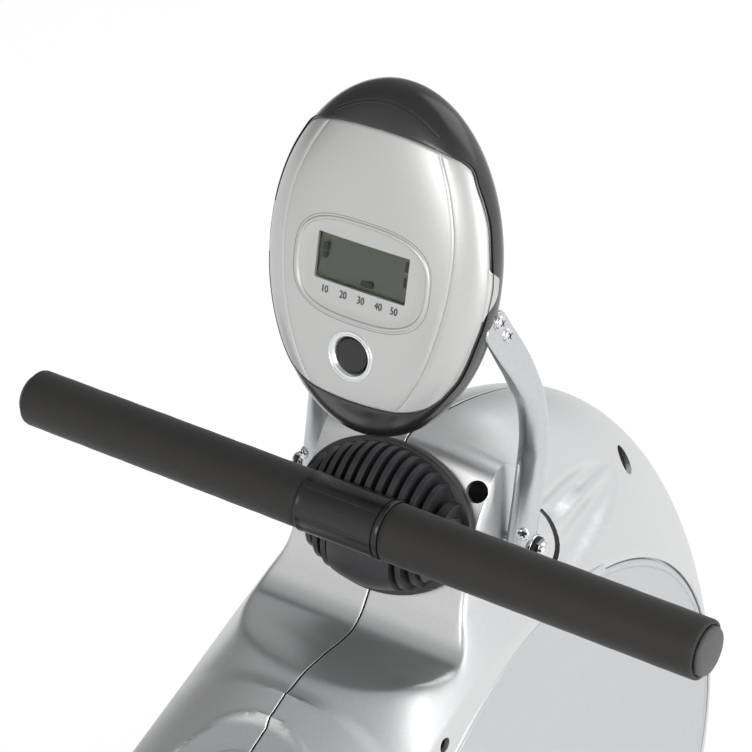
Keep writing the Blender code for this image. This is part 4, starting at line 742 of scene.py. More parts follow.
def housing_skin():
    """Rows of points over the outside of the right shell, from the seam to the opening under the cover."""
    rows = []
    for section in housing_sections():
        start = section["start"]
        row = []
        for x in SECTION_PLACES:
            x = start + x * (HALF_WIDTH - start) / HALF_WIDTH
            row.append(Vector((x, *section_point(section, x))))
        if section["seam"].x < TAIL_END and section["soft"] is not None:
            row = [dished(p) for p in row]
        rim = section["side"]
        ray = (rim - WHEELHOUSE).normalized()
        spare = (rim - WHEELHOUSE).length - COVER_RADIUS - 0.0015
        near = row[-1].yz
        low = rim - ray * min(0.007, max(0.0006, 0.6 * spare))
        corner = near + (rim - near) * 0.75
        for t in spread(0.0, 1.0, 6)[1:]:
            place = near * (1 - t) ** 2 + corner * 2 * t * (1 - t) + low * t * t
            x = EDGE_START * (1 - t) ** 2 + HALF_WIDTH * (2 * t * (1 - t) + t * t)
            row.append(Vector((min(x, HALF_WIDTH), *place)))
        rings = [(radius, 0.0) for radius in spread((low - WHEELHOUSE).length, COVER_RADIUS + 0.0014, 5)[1:]]
        rings += [(COVER_RADIUS + radius, drop) for radius, drop in (
            (0.0009, 0.0001), (0.0006, 0.0005), (0.0005, 0.0012), (0.0005, 0.0038), (-COVER_SEAT, 0.0038))]
        row += [Vector((HALF_WIDTH - drop, *(WHEELHOUSE + ray * radius))) for radius, drop in rings]
        rows.append(row)
    rows.append([p.copy() for p in rows[0]])
    return offset_skin(rows)


def offset_skin(rows):
    """The skin with its edge at the seam rounded and the pointed hollow pressed in."""
    pressed = []
    last = len(rows) - 1
    for i, row in enumerate(rows):
        before = rows[i - 1] if i > 0 else rows[last - 1]
        after = rows[i + 1] if i < last else rows[1]
        new_row = []
        for j, point in enumerate(row):
            depth = surface_offset(point)
            if depth > 1e-6:
                along = after[j] - before[j]
                across = row[min(j + 1, len(row) - 1)] - row[max(j - 1, 0)]
                normal = across.cross(along).normalized()
                if point.x < 0.002:
                    normal = Vector((0, -along.z, along.y)).normalized()
                point = point - normal * depth
            new_row.append(point)
        pressed.append(new_row)
    return pressed


def make_seam_strip():
    """A near-black strip down in the gap between the two shells, where the other shell's tongue lies: painted
    shade in the seam.
    """
    path = []
    for section in housing_sections():
        if section["start"] < 0.002 and section["soft"] is not None:
            place = Vector((0.0, *section_point(section, 0.0)))
            path.append(dished(place) if section["seam"].x < TAIL_END else place)
    line = []
    for i, here in enumerate(path):
        along = path[min(i + 1, len(path) - 1)] - path[max(i - 1, 0)]
        line.append(here - Vector((0, -along.z, along.y)).normalized() * 0.0021)
    new_piece("seam_shade_strip", sweep(rectangle(-0.0015, 0.0015, 0.0008), line[2:-2]), "dark", sharp=60)


def hole_cutter(place, way, radius, depth, side):
    """A round hole, as a shape to cut with."""
    profile = [(0.0, -depth), (radius, -depth), (radius, 0.02), (0.0, 0.02)]
    return placed(turned(profile, 28), turn_to(on_side(way, side), on_side(place, side)))


def make_housing():
    rows = housing_skin()
    slot = slab(rounded_outline(0.0135, 0.0042, 0.0035), -0.022, 0.022)
    strap_slot = placed(slot, turn_to(STRAP_WAY, HANDLE + STRAP_WAY * 0.045))
    for word, side in SIDES:
        points, faces = grid([[on_side(p, side) for p in row] for row in rows])
        if side < 0:
            faces = [tuple(reversed(face)) for face in faces]
        shell = new_piece("housing_" + word, (points, faces), "housing", [word + "_housing_shell"], sharp=50)
        turn_faces_out(shell.data, weld=True)
        thicken(shell, HOUSING_WALL, 50)
        holes = [hole_cutter(*hole, side) for hole in (HOLES if side > 0 else HOLES[1:])]
        cut_away(shell, joined(*holes, strap_slot))


def make_covers():
    rim = [(0.0007, -COVER_THICKNESS), (0.0007, -0.0009), (0.0018, -0.0001), (0.0042, 0.0), (0.0046, -0.0005),
           (0.0051, -0.0005), (0.0055, 0.0)]
    profile = [(0.0, -COVER_THICKNESS)] + [(COVER_RADIUS - inset, out) for inset, out in rim]
    profile += [(COVER_RADIUS * 0.5, 0.0012), (0.0, 0.0016)]
    for word, side in SIDES:
        cover = turned([(radius, side * (HALF_WIDTH + out)) for radius, out in profile], 160)
        new_piece("side_cover_" + word, moved(cover, (0, *WHEELHOUSE)), "cover", [word + "_side_cover"],
                  sharp=30)
        screws = []
        for turn in (35, 155, 275):
            spot = WHEELHOUSE + on_ray(turn) * COVER_SCREWS_RADIUS
            screws.append(pan_screw((side * (HALF_WIDTH + 0.0004), *spot), (side, 0, 0)))
        new_screws("cover_screws_" + word, "cover_screw_slots_" + word, screws)


# Handle

def make_handle():
    half = 0.23
    sleeve_end = 0.0285
    bore = 0.0143
    for word, side in SIDES:
        start = sleeve_end + GAP
        profile = [(bore, start), (0.0168, start), (0.0175, start + 0.0008)]
        for x in spread(start + 0.0008, half - 0.002, 60)[1:-1]:
            wave = 0.00005 * math.sin(190 * x) + 0.00003 * math.sin(430 * x + side)
            profile.append((0.01745 + wave, x))
        profile += [(0.0174, half - 0.0014), (0.0171, half - 0.0004), (0.0164, half), (0.0152, half),
                    (0.015, half - 0.0004), (0.015, half - 0.0016), (bore, half - 0.0016)]
        grip = turned([(radius, side * x) for radius, x in profile], 72, closed=True)
        new_piece("foam_grip_" + word, moved(grip, HANDLE), "foam", ["handle_grip_" + word], "handle",
                  sharp=60)
        cap = [(0.0, -0.014), (0.0118, -0.014), (0.0118, 0.0002), (0.014, 0.0002), (0.0143, 0.0008),
               (0.0142, 0.0022), (0.0134, 0.0033), (0.012, 0.0037), (0.0, 0.0038)]
        end = turned([(radius, side * (half + out)) for radius, out in cap], 56)
        new_piece("end_cap_" + word, moved(end, HANDLE), "end", ["handle_cap_" + word], "handle", sharp=50)
    radius = 0.0183
    profile = [(bore, -sleeve_end), (radius - 0.0005, -sleeve_end), (radius, 0.0005 - sleeve_end),
               (radius, 0.0012 - sleeve_end), (radius - 0.0003, 0.0018 - sleeve_end)]
    profile += [(radius - 0.00025, x) for x in spread(0.0018 - sleeve_end, 0.053 - sleeve_end, 12)[1:-1]]
    profile += [(radius - 0.0003, sleeve_end - 0.0042), (radius - 0.0011, sleeve_end - 0.004),
                (radius - 0.0011, sleeve_end - 0.0028), (radius, sleeve_end - 0.0026),
                (radius, sleeve_end - 0.0006), (radius - 0.0005, sleeve_end), (bore, sleeve_end)]
    mould_line = slab(rounded_outline(0.0009, 0.0008, 0.0005, 3), 0.001 - sleeve_end, sleeve_end - 0.005)
    parts = [turned(profile, 96, closed=True)]
    for turn in (-62, 118):
        spot = (0, *(on_ray(turn) * (radius - 0.0008)))
        parts.append(moved(placed(mould_line, Matrix.Rotation(math.radians(turn), 4, "X")), spot))
    new_piece("centre_sleeve", moved(joined(*parts), HANDLE), "sleeve", ["handle_sleeve"], "handle", sharp=45)
    NODES["handle_bar"].data.materials[0] = FINISH["steel"]


# Console sizes. In its own frame X is across, Y is up and Z is depth, with the face near zero.

CONSOLE = Matrix.Translation((0, 0.578, 0.6773)) @ Matrix.Rotation(math.radians(78.7), 4, "X")
CONSOLE_A = 0.073
CONSOLE_TOP = 0.1024
CONSOLE_LOW = 0.1043
EDGE_DEPTH = 0.027
BACK_DEPTH = 0.025
FRONT_RISE = 0.0263
FRONT_POWERS = (3.2, 2.4)
BACK_POWERS = (2.6, 0.62)
CAP_START = 0.0009
WIDEST = 0.9995
SILVER_BOTTOM = [(0, -0.0802), (0.016, -0.0798), (0.028, -0.0789), (0.0365, -0.0768), (0.045, -0.0725),
                 (0.0527, -0.0648)]
SILVER_SIDE = [(0.0527, -0.0648), (0.0602, -0.0523), (0.0644, -0.041), (0.0674, -0.0296), (0.07, -0.0175),
               (0.0713, -0.005), (0.0716, 0.004), (0.0705, 0.016), (0.0687, 0.0266), (0.0655, 0.04),
               (0.062, 0.0488), (0.0562, 0.06)]
SILVER_TOP = [(0, 0.0785), (0.018, 0.0776), (0.03, 0.0759), (0.041, 0.073), (0.047, 0.0708), (0.052, 0.0672),
              (0.0562, 0.06)]
SILVER_LINES = [smooth_line(line, 0.002) for line in (SILVER_BOTTOM, SILVER_SIDE, SILVER_TOP)]
GROOVE = reader([(-0.081, 0.027), (-0.072, 0.033), (-0.052, 0.043), (-0.023, 0.051), (0.008, 0.0545),
                 (0.03, 0.053), (0.054, 0.046), (0.079, 0.0335)])
GROOVE_HALF = 0.0011
OUTER_SHARES = (0, 0.12, 0.26, 0.4, 0.54, 0.67, 0.79, 0.88, 0.94, 0.975, 0.99, 1.0)
BEZEL = (-0.0031, 0.0433, 0.0286, 2.9)
BUTTON_UP = -0.052
TAB_PROUD = (-0.0004, 0.0002, 0.0005) + (0.0007,) * 11 + (0.0003,)
ARCH_HALF = [(0.033, 0.08), (0.028, 0.083), (0.02, 0.0872), (0.01, 0.0906)]
ARCH = [(-x, up) for x, up in ARCH_HALF] + [(0.0, 0.0918)] + ARCH_HALF[::-1]
LABELS = ((-0.022, "10"), (-0.0095, "20"), (0.0022, "30"), (0.0138, "40"), (0.0238, "50"))
MARKS = ((-0.0253, 0.0052, 0.0036, 0.0046), (-0.0256, 0.0, 0.003, 0.0034), (0.0282, 0.008, 0.0028, 0.006),
         (0.028, -0.0012, 0.0028, 0.0056), (0.0034, -0.0093, 0.0076, 0.0034))


# Console

def egg_reach(x, up):
    """How far out a place lies in the console's outline, from 0 in the middle to 1 on its edge."""
    return math.hypot(x / CONSOLE_A, up / (CONSOLE_TOP if up > 0 else CONSOLE_LOW))


def console_depth(x, up):
    """Depth of the console's domed face at a place."""
    out, in_power = FRONT_POWERS
    reach = min(1.0, egg_reach(x, up))
    return -EDGE_DEPTH + FRONT_RISE * max(0.0, 1 - reach ** out) ** (1 / in_power)


def console_point(place, press=0.0):
    """The point of the domed face at a place, pressed in by a distance."""
    return Vector((*place, console_depth(*place) - press))


def back_scale(level):
    """Width of the console's back at a level, from its edge at 0 to its floor at 1."""
    return (1 - level ** BACK_POWERS[0]) ** BACK_POWERS[1]


def flank_point(up, depth, proud=0.0):
    """A point of the console's right side at a height and a depth."""
    if depth > -EDGE_DEPTH:
        out, in_power = FRONT_POWERS
        scale = (1 - ((depth + EDGE_DEPTH) / FRONT_RISE) ** in_power) ** (1 / out)
    else:
        scale = back_scale((-EDGE_DEPTH - depth) / BACK_DEPTH)
    x = CONSOLE_A * math.sqrt(max(0.0, scale ** 2 - egg_reach(0, up) ** 2))
    return Vector((x + proud, up, depth))


def silver_place(across, up):
    """A place of the silver front. Across goes from its middle to its side, and up from bottom to top."""
    bottom, side, top = SILVER_LINES
    middle = Vector((0.0, bottom[0].y + (top[0].y - bottom[0].y) * up))
    ends = along_line(bottom, across) * (1 - up) + along_line(top, across) * up
    sides = middle * (1 - across) + along_line(side, up) * across
    inner = bottom[0] * (1 - up) + top[0] * up
    outer = bottom[-1] * (1 - up) + top[-1] * up
    return ends + sides - inner * (1 - across) - outer * across


def in_bezel(x, up):
    """Below 1 inside the bezel's outline, and 1 on it."""
    middle, half_a, half_b, power = BEZEL
    return abs(x / half_a) ** power + abs((up - middle) / half_b) ** power


def silver_row(up):
    """One row of the front from its middle to its right side, with the groove pressed in."""
    share = 0.72
    for _ in range(6):
        here = silver_place(share, up)
        share *= GROOVE(here.y) / here.x
    half = GROOVE_HALF / silver_place(1.0, up).x
    rest = 1 - share - half
    places = spread(0.0, share - half, 26)[:-1] + spread(share - half, share + half, 8)[:-1]
    places += [share + half + rest * i for i in OUTER_SHARES]
    fade = ease(0.001, 0.012, up) * ease(0.001, 0.012, 1 - up)
    row = []
    for place in places:
        point = silver_place(place, up)
        groove = max(0.0, 1 - abs(place - share) / half) * fade
        edge = min(up * 0.158, (1 - up) * 0.158, (1 - place) * 0.07)
        press = 0.0007 * groove ** 1.3 + 0.0007 * max(0.0, 1 - edge / 0.0013) ** 2
        press += 0.0015 * (1 - ease(0.55, 0.98, in_bezel(*point)))
        row.append(console_point(point, press))
    return row


def side_tab(side):
    """The silver tab that wraps back over the black flank beside an arm."""
    front = -0.0175
    rings = []
    for up in spread(-0.014, 0.016, 26):
        back = -0.0183 - 0.0085 * ease(-0.014, 0.001, up) * (1 - ease(0.0085, 0.016, up))
        depths = spread(front, back, len(TAB_PROUD) - 1)
        outer = [flank_point(up, depth, proud) for depth, proud in zip(depths, TAB_PROUD)]
        inner = [flank_point(up, depth, -0.001) for depth in reversed(depths)]
        rings.append([on_side(p, side) for p in outer + inner])
    return solid(rings)


def button_place():
    middle = console_point((0, BUTTON_UP))
    return CONSOLE @ Matrix.Translation(middle) @ Matrix.Rotation(math.radians(3.25), 4, "X")


def make_console_front():
    ends = [0.0, 0.002, 0.0045, 0.008, 0.013, 0.02]
    shares = ends + spread(0.02, 0.98, 78)[1:-1] + [1 - share for share in reversed(ends)]
    rows = [silver_row(share) for share in shares]
    rows = [[on_side(p, -1) for p in reversed(row[1:])] + row for row in rows]
    front = new_piece("console_front", placed(grid(rows), CONSOLE), "console", ["console_front_shell"],
                      sharp=32)
    thicken(front, 0.0022, 32)
    window = plate(rounded_outline(0.03, 0.0135, 0.0008, 3), -0.012, 0.006)
    ring_hole = turned([(0, -0.01), (0.014, -0.01), (0.014, 0.01), (0, 0.01)], 64, "Z")
    cut_away(front, joined(placed(window, CONSOLE), placed(ring_hole, button_place())))
    tabs = joined(*[side_tab(side) for _, side in SIDES])
    new_piece("console_side_tabs", placed(tabs, CONSOLE), "console", sharp=40)


def make_console_back():
    """The black shell: both caps, the thin flank and the back, round the silver front."""
    bottom, side, top = SILVER_LINES
    right = bottom[:-1] + side[:-1] + top[::-1]
    loop = right + [Vector((-p.x, p.y)) for p in right[-2:0:-1]]
    rings = [[console_point(p * (1 - 0.0032 / p.length), 0.0032) for p in loop],
             [console_point(p, 0.003) for p in loop]]
    for offset, press in ((0.0001, 0.0012), (0.0002, 0.0004), (0.0005, 0.0001), (CAP_START, 0.0)):
        outer = [p * min(1 + offset / p.length, WIDEST / egg_reach(*p)) for p in loop]
        rings.append([console_point(p, press) for p in outer])
    for angle in spread(0.0, math.pi / 2, 14)[1:]:
        ring = []
        for p in loop:
            reach = egg_reach(*p)
            start = min(reach * (1 + CAP_START / p.length), WIDEST)
            ring.append(console_point(p * ((start + (1 - start) * math.sin(angle)) / reach)))
        rings.append(ring)
    levels = [(max(0.42, back_scale(level)), BACK_DEPTH * level)
              for level in (0.1, 0.22, 0.36, 0.5, 0.63, 0.74, 0.83, 0.9, 0.945)]
    for scale, depth in levels + [(0.41, 0.0297), (0.38, 0.03)]:
        rings.append([Vector((*(p * scale / egg_reach(*p)), -EDGE_DEPTH - depth)) for p in loop])
    points, faces = grid(rings, wrap=True)
    faces.append(tuple(range(len(points) - len(loop), len(points))))
    back = new_piece("console_back", placed((points, faces), CONSOLE), "cap", ["console_back_shell"],
                     sharp=40)
    thicken(back, 0.0018, 40)


def make_console_back_details():
    """The fine arch on the upper cap, the four screws and the battery door."""
    arches = []
    for shift in (0.0, 0.0019):
        arch = smooth_line([(x, up + shift) for x, up in ARCH], 0.0015)
        arches.append(sweep(circle(0.00045, 8), [console_point(p, -0.0001) for p in arch], UP))
    new_piece("console_cap_arch", placed(joined(*arches), CONSOLE), "cap", sharp=60)
    screws = []
    for x, up in ((0.03, 0.052), (-0.03, 0.052), (0.03, -0.052), (-0.03, -0.052)):
        level = (1 - egg_reach(x, up) ** (1 / BACK_POWERS[1])) ** (1 / BACK_POWERS[0])
        place = CONSOLE @ Vector((x, up, -EDGE_DEPTH - BACK_DEPTH * level))
        out = CONSOLE.to_3x3() @ Vector((x, up * 0.7, -0.08)).normalized()
        screws.append(pan_screw(place, out, 0.003, 0.0016))
    new_screws("console_back_screws", "console_back_slots", screws)
    levels = ((0.0188, 0.0278, -0.0505), (0.0188, 0.0278, -0.0522), (0.0183, 0.0273, -0.0527))
    door = solid([[Vector((x, y, z)) for x, y in rounded_outline(half_a, half_b, 0.004)]
                  for half_a, half_b, z in levels])
    ribs = [plate(rectangle(-0.008, 0.008, 0.0005, up), -0.0525, -0.0532) for up in (0.016, 0.0185, 0.021)]
    new_piece("battery_door", placed(joined(door, *ribs), CONSOLE), "black", ["battery_cover"], sharp=40)


def bezel_line(grow):
    """The bezel's outline, grown by a distance."""
    middle, half_a, half_b, power = BEZEL
    line = []
    for angle in angles(120):
        x = (half_a + grow) * signed_power(math.cos(angle), 2 / power)
        up = middle + (half_b + grow) * signed_power(math.sin(angle), 2 / power)
        line.append(Vector((x, up)))
    return line


def make_button():
    ring = [(0.0103, -0.006), (0.0137, -0.006), (0.0147, 0.0001), (0.0145, 0.0005), (0.0139, 0.0005),
            (0.0136, 0.0), (0.0128, -0.0001), (0.0125, 0.0004), (0.0119, 0.0004), (0.0114, -0.0002),
            (0.0103, -0.0022)]
    new_piece("button_ring", placed(turned(ring, 72, "Z", closed=True), button_place()), "bright", sharp=50)
    disc = [(0, -0.005), (0.0099, -0.005), (0.0099, -0.0013), (0.006, -0.0012), (0, -0.0012)]
    disc = turned(softened(disc, 0.0005), 56, "Z")
    new_piece("button_disc", placed(disc, button_place()), "black", ["console_button"],
              "console_button", sharp=40)


def make_display():
    """The panel, its marks in front of the clear pane, and a near-black collar round them: a frame behind the
    opening whose colour paints the shade inside it.
    """
    panel = plate(rounded_outline(0.0318, 0.0153, 0.001, 2), -0.0072, -0.0062)
    new_piece("display_panel", placed(panel, CONSOLE), "display", ["lcd_panel"])
    pane = plate(rounded_outline(0.0303, 0.0138, 0.0008, 2), -0.0054, -0.0044)
    new_piece("display_window", placed(pane, CONSOLE), "window", ["lcd_window"])
    marks = []
    for x, up, wide, high in MARKS:
        outline = [(x + a, up + b) for a, b in rounded_outline(wide / 2, high / 2, 0.0006, 2)]
        marks.append(plate(outline, -0.00438, -0.00422))
    new_piece("display_marks", placed(joined(*marks), CONSOLE), "segment")
    path = [Vector((a, b, -0.0048)) for a, b in rounded_outline(0.0322, 0.0157, 0.001, 3)]
    collar = sweep(rectangle(-0.0016, 0.0, 0.0009), path, UP, closed=True)
    new_piece("display_shade_collar", placed(collar, CONSOLE), "dark")


def make_console_details():
    ridge = [(-0.0012, -0.0014), (0.0001, -0.0012), (0.0006, -0.0006), (0.0007, 0.0), (0.0006, 0.0006),
             (0.0001, 0.0012), (-0.0012, 0.0014)]
    ring = sweep(ridge, [console_point(p, 0.0001) for p in bezel_line(-0.0006)], UP, closed=True)
    new_piece("display_bezel", placed(ring, CONSOLE), "console", sharp=60)
    # A thin grey strip just outside the bezel ridge: painted shade of the crease there.
    path = [console_point(p) for p in bezel_line(0.0016)]
    line = sweep(rectangle(-0.0002, 0.00006, 0.00014), path, UP, closed=True)
    new_piece("display_bezel_line", placed(line, CONSOLE), "crease", sharp=60)
    make_button()
    make_display()
    for x, text in LABELS:
        depth = console_depth(x, -0.0183) - 0.00118
        printed("label_" + text, text, CONSOLE @ Matrix.Translation((x, -0.0206, depth)))


def printed(name, text, matrix):
    """Plain figures as thin raised print."""
    narrowing = 0.78
    letters = bpy.data.curves.new(name, "FONT")
    letters.body = text
    letters.size = 0.0062
    letters.align_x = "CENTER"
    letters.extrude = 0.00004
    letters.resolution_u = 3
    holder = add_object(name, letters)
    mesh = evaluated_mesh(holder)
    shape = ([Vector((p.co.x * narrowing, p.co.y, p.co.z)) for p in mesh.vertices],
             [tuple(face.vertices) for face in mesh.polygons])
    bpy.data.objects.remove(holder)
    bpy.data.meshes.remove(mesh)
    new_piece(name, placed(shape, matrix), "ink")


# Bracket arms and their screws

ARM_PATH = [
    (0.636, 0.484), (0.6375, 0.494), (0.6397, 0.506), (0.6424, 0.52), (0.6443, 0.5317), (0.6462, 0.5429),
    (0.6477, 0.5542), (0.6473, 0.5666), (0.6456, 0.5775), (0.6418, 0.5894), (0.6343, 0.6031), (0.624, 0.6201),
    (0.6123, 0.6368), (0.6003, 0.6542), (0.5913, 0.6673),
]
ARM_X = 0.0725
ARM_RADIUS = 0.0085
ARM_TOP_X = 0.0705
ARM_TOP_HALF = 0.0015


def arm_rings(side):
    """Rings up an arm, whose tube flattens to a thin blade beside the console."""
    stations = smooth_line([(y, z, 0.01 * i) for i, (y, z) in enumerate(ARM_PATH)], 0.0035)
    stations = [here for here in stations if here.z < 0.1348]
    last = len(stations) - 1
    rings = []
    for i, here in enumerate(stations):
        along = stations[min(last, i + 1)].xy - stations[max(0, i - 1)].xy
        normal = Vector((-along.y, along.x)).normalized()
        place = here.z * 100
        flat = ease(8.6, 13.2, place)
        end = max(0.0, (place - 13.0) / 0.5)
        half_x = ARM_RADIUS + (ARM_TOP_HALF - ARM_RADIUS) * flat
        half_n = (ARM_RADIUS + 0.0018 * ease(8, 12, place)) * math.sqrt(max(0.05, 1 - end * end))
        middle = Vector((ARM_X + (ARM_TOP_X - ARM_X) * flat, *(here.xy + Vector((0.0059, -0.0043)) * flat)))
        square = 2 / (2 + 3.0 * flat)
        ring = []
        for angle in angles(32):
            up = half_n * signed_power(math.sin(angle), square)
            out = half_x * signed_power(math.cos(angle), square)
            ring.append(on_side(middle + Vector((out, *(normal * up))), side))
        rings.append(ring)
    return rings


def make_arms():
    washer = [(0.0, -0.0004), (0.0051, -0.0004), (0.0051, 0.0007), (0.0, 0.0007)]
    washer = turned(softened(washer, 0.0002), 28)
    for word, side in SIDES:
        new_piece("bracket_arm_" + word, solid(arm_rings(side)), "arm", ["console_arm_" + word], sharp=75)
        way = (side, 0, 0)
        places = [(side * (ARM_TOP_X + ARM_TOP_HALF), y, z) for y, z in ((0.6085, 0.6526), (0.6161, 0.641))]
        new_screws("arm_screws_" + word, "arm_screw_slots_" + word,
                   [pan_screw(place, way, 0.0044, 0.0026) for place in places], "plated",
                   [placed(washer, turn_to(way, place)) for place in places])
        make_arm_bolt(word, side)


def make_arm_bolt(word, side):
    """The arm's lower bolt: a curved saddle washer, a split ring washer and a domed nut."""
    outer = ARM_X + ARM_RADIUS
    inner_end = 0.027 - outer
    bore = 0.0042
    place = turn_to((side, 0, 0), (side * outer, 0.6385, 0.4907))
    saddle = [(bore, -0.0012), (0.0082, -0.0012), (0.0084, -0.0002), (0.008, 0.0008), (bore, 0.0008)]
    split_ring = [(bore, 0.0009), (0.0073, 0.0009), (0.0073, 0.0022), (bore, 0.0022)]
    dome = [(0.0, 0.0049), (0.0056, 0.0049), (0.0052, 0.0062), (0.004, 0.0075), (0.0022, 0.0083),
            (0.0, 0.0086)]
    shank = [(0.0, inner_end), (0.0038, inner_end), (0.0038, 0.003), (0.0, 0.003)]
    nut = joined(turned(softened(saddle, 0.0003), 36, closed=True), slab(circle(0.0066, 6), 0.0023, 0.005),
                 turned(dome, 32), turned(shank, 20))
    new_piece("arm_nut_" + word, placed(nut, place), "plated", ["arm_bolt_" + word], sharp=40)
    washer = turned(softened(split_ring, 0.0003), 36, closed=True)
    new_piece("arm_split_washer_" + word, placed(washer, place), "dark", sharp=40)
    along = Vector((side * 0.52, -0.8, 0.3)).normalized()
    spot = Vector((side * ARM_X, 0.6386, 0.5)) + along * (ARM_RADIUS - 0.0006)
    screw = pan_screw(spot, along, 0.004, 0.0026)
    new_screws("arm_clip_screw_" + word, "arm_clip_slot_" + word, [screw], "plated")


# Ribbed rest. In its own frame X is across, Y is up the plate and Z is out of it.

REST = Matrix.Translation((0, 0.6058, 0.5014)) @ Matrix.Rotation(math.radians(66.05), 4, "X")
CRADLE = (0.0024, 0.0403, 0.0187)
PLATE_A, PLATE_B = 0.0595, 0.045
DOME_A, DOME_B = 0.0535, 0.0425
DOME_FOOT = 0.004
FIN = 0.0036


def rest_outline(x, low, high, grow=0.0):
    """The (up, out) outline of a slice of the ribbed dome, hollowed for the bar."""
    share = math.sqrt(max(0.0, 1 - (x / DOME_A) ** 2))
    middle, out, radius = CRADLE
    top = min(high, DOME_B * share)
    bottom = max(low, -DOME_B * share)
    line = []
    for up in spread(top, bottom, 40):
        height = 0.0045 + (0.0292 + grow) * max(0.0, share ** 2 - (up / DOME_B) ** 2) ** 0.41
        if abs(up - middle) < radius:
            height = min(height, out - math.sqrt(radius ** 2 - (up - middle) ** 2))
        line.append((up, height))
    return [(top, DOME_FOOT)] + line + [(bottom, DOME_FOOT)]


def rest_fin(x, thickness, low, high, grow=0.0):
    return slab(rest_outline(x, low, high, grow), x - thickness / 2, x + thickness / 2)


def rest_block(places, low, high, grow=0.0, share=1.0):
    """A stretch of the dome without ribs, up to a share of its height."""
    return solid([[Vector((x, up, DOME_FOOT + (out - DOME_FOOT) * share))
                   for up, out in rest_outline(x, low, high, grow)] for x in places])


def make_rest():
    rings = []
    for shrink, height in ((0.001, 0.0003), (0.0, 0.0012), (0.0, 0.0036), (0.0006, 0.0046), (0.0016, 0.005),
                           (0.012, 0.005)):
        half_a, half_b = PLATE_A - shrink, PLATE_B - shrink
        rings.append([Vector((half_a * a, half_b * b, height)) for a, b in circle(1.0, 96)])
    new_piece("rest_plate", placed(solid(rings), REST), "rest", ["handle_rest"], sharp=50)
    fins = []
    for x in spread(-0.0432, 0.036, 11):
        fins.append(rest_fin(x, FIN, 0.0, 0.05))
        if x < -0.018 or x > 0.022:
            fins.append(rest_fin(x, FIN, -0.05, 0.004))
    fins.append(rest_fin(0.0452, 0.0066, 0.01, 0.05, 0.004))
    fins.append(rest_fin(-0.0496, 0.003, -0.02, 0.03))
    new_piece("rest_fins", placed(joined(*fins), REST), "rest", bevel=0.00055)
    tongue = rest_block(spread(-0.018, 0.024, 22), -0.05, -0.006, 0.0008)
    cheek = rest_block(spread(0.0404, 0.0534, 12), -0.036, 0.0145, 0.001)
    new_piece("rest_tongue", placed(joined(tongue, cheek), REST), "rest", sharp=50)
    # The floor between the fins is near-black: painted shade down in the slots.
    floor = rest_block(spread(-0.05, 0.05, 28), -0.05, 0.05, share=0.32)
    new_piece("rest_floor_shade", placed(floor, REST), "dark", sharp=50)


# Cords

def lead_path():
    """The console's lead, from the back of the right arm down into the housing."""
    return smooth_line([
        (0.0745, 0.6545, 0.506), (0.0775, 0.6585, 0.499), (0.0805, 0.661, 0.49), (0.082, 0.6625, 0.48),
        (0.0815, 0.662, 0.471), (0.079, 0.66, 0.463), (0.076, 0.657, 0.456), (0.0745, 0.656, 0.449),
        (0.0745, 0.656, 0.441)], 0.0045)


def cable_path():
    """The cable from the resistance knob to the magnets."""
    down = Vector((0, math.sin(KNOB_SLOPE), -math.cos(KNOB_SLOPE)))
    start = KNOB_SEAT + down * 0.029
    yoke_pivot = Vector((0, 0.755006, 0.37208))
    end = yoke_pivot + Vector((0, 0.018, 0.004))
    return smooth_line([
        start, start + down * 0.015, (-0.045, 0.48, 0.33), (-0.05, 0.56, 0.31), (-0.05, 0.66, 0.37),
        (-0.04, 0.75, 0.4), (-0.018, end.y - 0.01, end.z + 0.01), end], 0.015)


def make_cords():
    path = lead_path()
    twin = [(0.00165 * c, 0.0009 * (0.55 + 0.45 * abs(c)) * s) for c, s in circle(1.0, 24)]
    lead = new_piece("console_lead", sweep(twin, path), "jacket", ["computer_cable"], sharp=60)
    path = cable_path()
    cable = new_piece("resistance_cable", sweep(circle(0.0018, 12), path), "jacket", ["tension_cable"],
                      sharp=60)


# Pull strap

GUIDE = Vector((0.0, 0.642434, 0.501226))
STRAP_DROP = 0.0111
DRUM = Vector((0.0, 0.590026, 0.32996))
DRUM_REACH = 0.0311
STRAP_OUTLINE = [(-0.01, -0.0005), (-0.0097, -0.0008), (0.0097, -0.0008), (0.01, -0.0005), (0.01, 0.0005),
                 (0.0097, 0.0008), (-0.0097, 0.0008), (-0.01, 0.0005)]


def arc(centre, radius, start, end):
    """Points of a turn about an axis along X."""
    turns = spread(start, end, 12)
    return [centre + Vector((0, math.cos(angle), math.sin(angle))) * radius for angle in turns]


def make_pull_straps():
    normal = Vector((0, math.sin(STRAP_RISE), math.cos(STRAP_RISE)))
    near = HANDLE + STRAP_WAY * 0.0186
    far = GUIDE + normal * STRAP_DROP - STRAP_WAY * GAP
    path = [near + (far - near) * t for t in spread(0.0, 1.0, 24)]
    strap = new_piece("strap_out", sweep(STRAP_OUTLINE, path), "webbing", ["pull_strap"], None, sharp=60)
    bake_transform(strap)
    offset = (GUIDE - DRUM).yz
    leave = math.atan2(offset.y, offset.x) - math.acos((DRUM_REACH - STRAP_DROP) / offset.length)
    path = arc(GUIDE, STRAP_DROP, math.radians(84), leave)
    path += arc(DRUM, DRUM_REACH, leave, leave - math.radians(60))
    new_piece("strap_inside", sweep(STRAP_OUTLINE, path), "webbing", ["inner_strap"], sharp=60)


# Resistance knob

